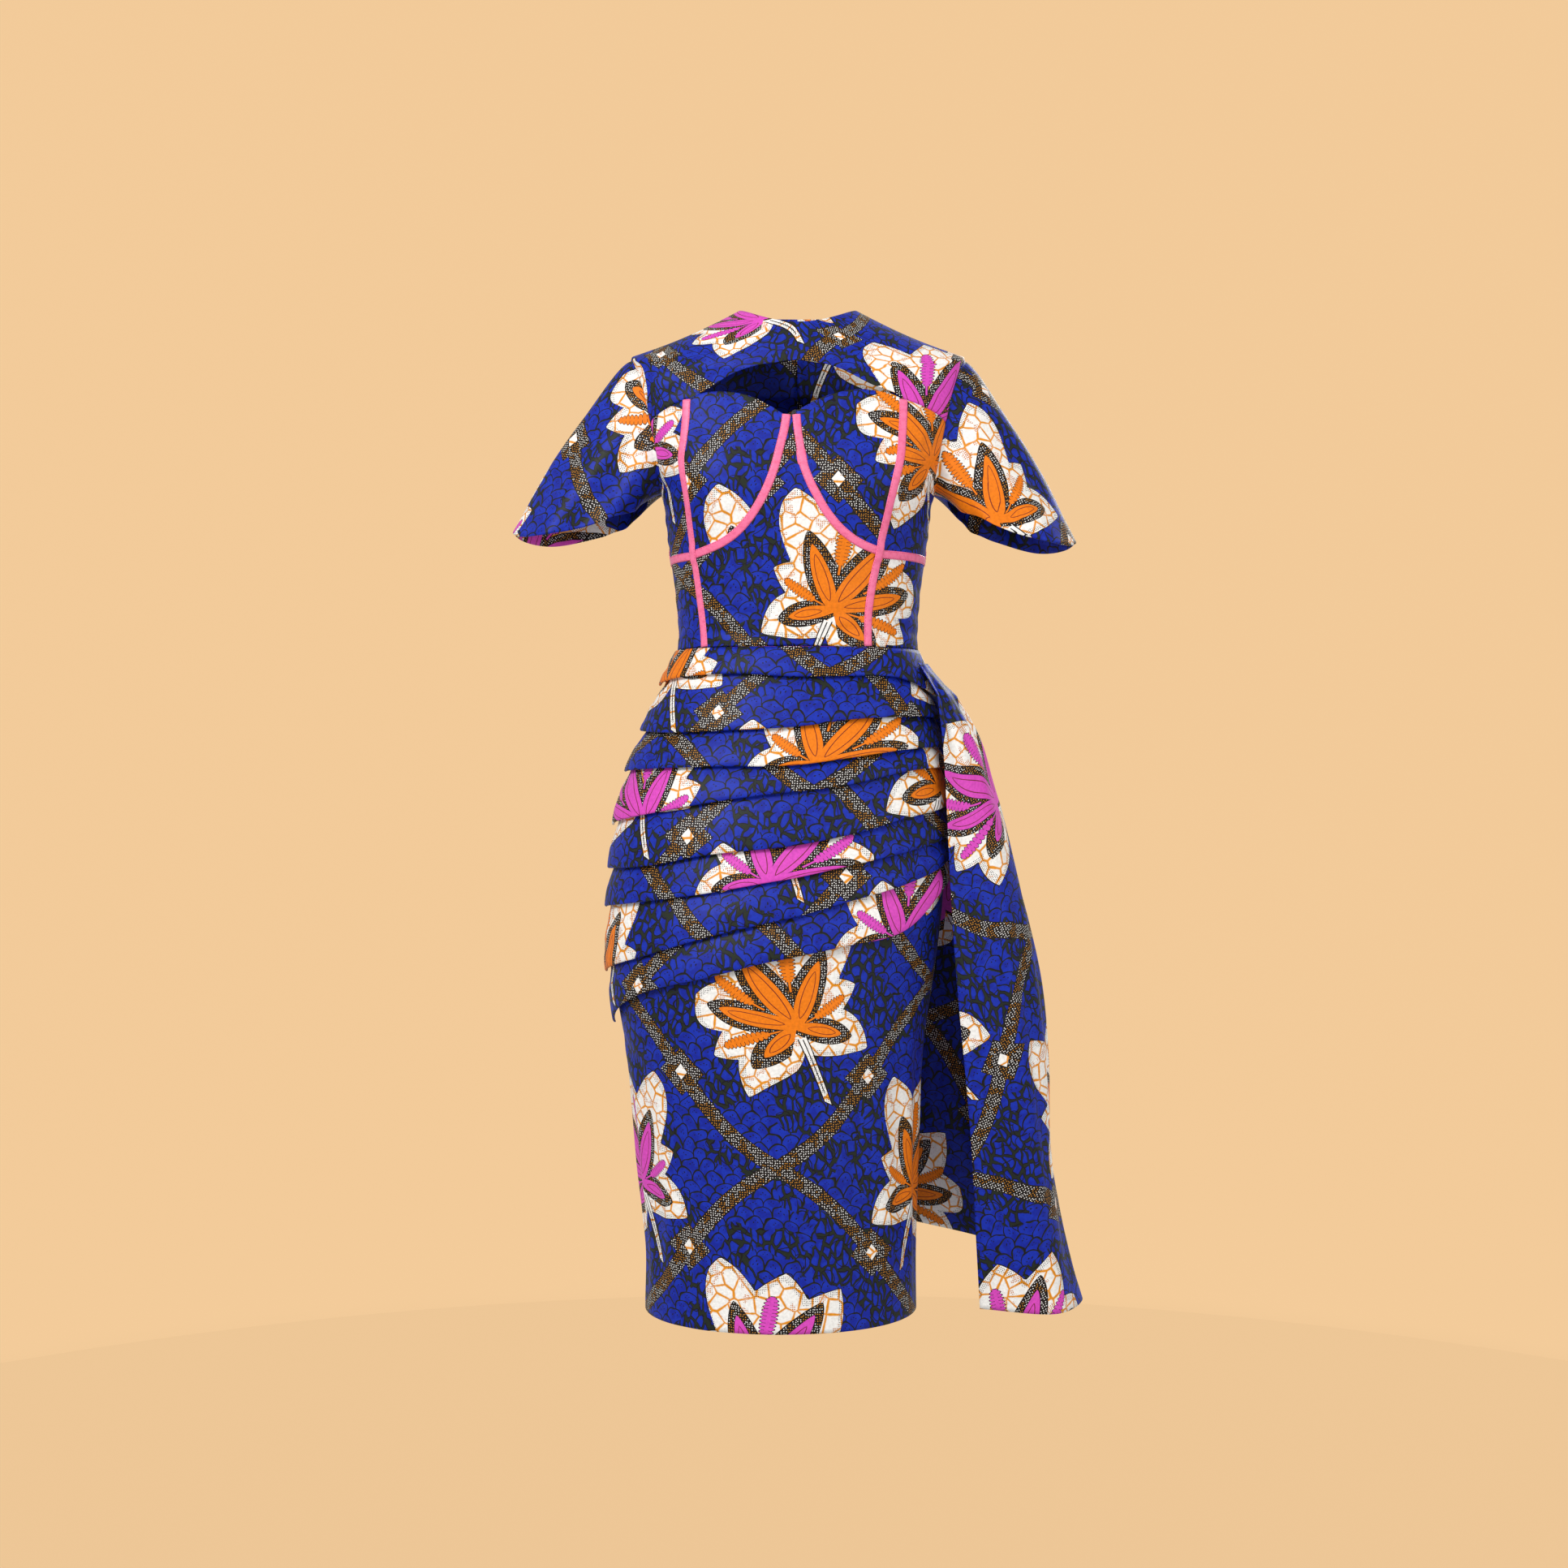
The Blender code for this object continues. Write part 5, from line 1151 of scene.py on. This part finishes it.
def tapeCloth(name, angle, height):
    # the folded tape is a little thicker along its middle
    asides = np.linspace(-0.5, 0.5, tapes["across"]) * tapes["width"]
    dome = 1 - (2 * asides / tapes["width"]) ** 2
    lifts = tapes["edgeLift"] + (tapes["crownLift"] - tapes["edgeLift"]) * dome**0.6
    grid = tapeStrip(angle, height, asides, lifts, tapeRise(name, height))
    return clothMesh(name + "_strip", grid, gridPlace(grid), satin, tapes["wall"])


def stitchesAlong(name, angle, height):
    # points of small capsules of thread, in a row just inside each edge of the tape
    aside, lift = tapes["width"] / 2 - tapes["stitchFromEdge"], tapes["edgeLift"] + tapes["stitchLift"]
    outward = offBody(angle, height, np.full(angle.shape, 0.001)) - onBody(angle, height)
    shift, size = np.array(tapes["stitchRings"]).T[:, :, None, None]
    turn = 2 * pi / tapes["stitchSides"] * np.arange(tapes["stitchSides"])[:, None]
    rows = []
    for line in tapeStrip(angle, height, (-aside, aside), (lift, lift), tapeRise(name, height)):
        along = lengthAlong(line)
        at = np.arange(tapes["stitchMargin"], along[-1] - tapes["stitchMargin"], tapes["stitchPitch"])
        centre, beyond, up = (np.stack([np.interp(spots, along, values) for values in path.T], axis=-1)[:, None, None]
                              for path, spots in ((line, at), (line, at + 0.001), (outward, at)))
        ahead = unit(beyond - centre)
        up = unit(up - ahead * (up * ahead).sum(axis=-1, keepdims=True))
        circle = up * np.sin(turn) + np.cross(ahead, up) * np.cos(turn)
        rows.append(centre + ahead * shift * tapes["stitchLength"] + circle * size * tapes["stitchRadius"])
    return np.concatenate(rows).reshape(-1, 3)


def capsuleFaces(sides, rings):
    # side walls from ring to ring, then a flat end on the first and the last
    ring = np.arange(sides)
    walls = [np.stack((ring, ring + sides, np.roll(ring, -1) + sides, np.roll(ring, -1)), axis=-1) + sides * row
             for row in range(rings - 1)]
    return [*np.concatenate(walls).tolist(), ring.tolist(), (ring[::-1] + sides * (rings - 1)).tolist()]


tapePieces, stitches = {}, []
for name, (angle, height) in tapePaths().items():
    tapePieces[name] = tapeCloth(name, angle, height)
    stitches.append(stitchesAlong(name, angle, height))
stitches = np.concatenate(stitches).tolist()
oneStitch = capsuleFaces(tapes["stitchSides"], len(tapes["stitchRings"]))
stitchSize = tapes["stitchSides"] * len(tapes["stitchRings"])
mesh = bpy.data.meshes.new("tape_stitching")
mesh.from_pydata(stitches, [], [[first + i for i in face] for first in range(0, len(stitches), stitchSize)
                                for face in oneStitch])
mesh.materials.append(thread)
mesh.shade_smooth()
stitching = bpy.data.objects.new("tape_stitching", mesh)
scene.collection.objects.link(stitching)
print("tapes stitched on")

# parent every piece to the root body, and hide the CAD part that it stands for
for name, piece in pieces.items():
    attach(piece, "root")
    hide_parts(name)
for name, piece in tapePieces.items():
    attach(piece, "root")
    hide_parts(name)
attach(stitching, "root")

# studio
studio = {
    "wall": "#FCD3A0", "paint": "#4A3C2C", "glow": 0.87, "air": "#FFFBF6", "airGlow": 0.52,
    "radius": 3.6, "floor": -1.75, "height": 6.0, "cove": 0.8, "sides": 96, "coveRings": 14,
    # size, power, place
    "lights": {"key": (1.3, 54.0, (-1.5, -2.3, 1.1)), "fill": (2.0, 17.0, (1.7, -2.2, 0.1)),
               "back": (1.3, 34.0, (1.5, 2.3, 1.0))},
    "aim": (0, 0, -0.5), "camera": (-0.0146, -2.12, -0.497), "lens": 46.02, "sensor": 36.0,
}


def studioPaint():
    # matt emulsion rolled on plaster: one flat warm tone, with a glow that evens out the light on it
    look, add = newLook("Painted studio wall")
    paint = add("BsdfDiffuse", {"Color": linear(studio["paint"]), "Roughness": 0.5})
    glow = add("Emission", {"Color": linear(studio["wall"]), "Strength": studio["glow"]})
    add("OutputMaterial", {"Surface": add("AddShader", paint, glow)})
    return look


def studioRoom():
    # a round floor that curves up into one wall
    bend = np.linspace(0, pi / 2, studio["coveRings"])
    radius = np.append(studio["radius"] - studio["cove"] * (1 - np.sin(bend)), studio["radius"])[:, None]
    height = np.append(studio["cove"] * (1 - np.cos(bend)), studio["height"])[:, None] + studio["floor"]
    turn = 2 * pi / studio["sides"] * np.arange(studio["sides"])
    points = np.stack(np.broadcast_arrays(radius * np.cos(turn), radius * np.sin(turn), height), axis=-1)
    here = np.arange(radius.size * turn.size).reshape(-1, turn.size)
    there = np.roll(here, -1, axis=1)
    walls = np.stack((here[:-1], there[:-1], there[1:], here[1:]), axis=-1).reshape(-1, 4).tolist()
    mesh = bpy.data.meshes.new("studio")
    mesh.from_pydata(points.reshape(-1, 3).tolist(), [], [here[0].tolist(), *walls])
    mesh.shade_smooth()
    mesh.materials.append(studioPaint())
    room = bpy.data.objects.new("studio", mesh)
    room.visible_diffuse = room.visible_glossy = room.visible_shadow = False
    scene.collection.objects.link(room)


studioRoom()
for name, (size, power, place) in studio["lights"].items():
    data = bpy.data.lights.new(name, "AREA")
    data.shape, data.size, data.energy = "DISK", size, power
    lamp = bpy.data.objects.new(name, data)
    lamp.location = place
    lamp.rotation_euler = (Vector(studio["aim"]) - Vector(place)).to_track_quat("-Z", "Y").to_euler()
    lamp.visible_camera = False
    scene.collection.objects.link(lamp)
world = bpy.data.worlds.new("soft room")
world.use_nodes = True
air = world.node_tree.nodes["Background"].inputs
air["Color"].default_value, air["Strength"].default_value = linear(studio["air"]), studio["airGlow"]
scene.world = world

lens = bpy.data.cameras.new("camera")
lens.lens, lens.sensor_width = studio["lens"], studio["sensor"]
camera = bpy.data.objects.new("camera", lens)
camera.location = studio["camera"]
camera.rotation_euler = (radians(90), 0, 0)
scene.collection.objects.link(camera)
scene.camera = camera
scene.view_settings.view_transform = "Standard"
scene.view_settings.look = "None"
print("studio lit")
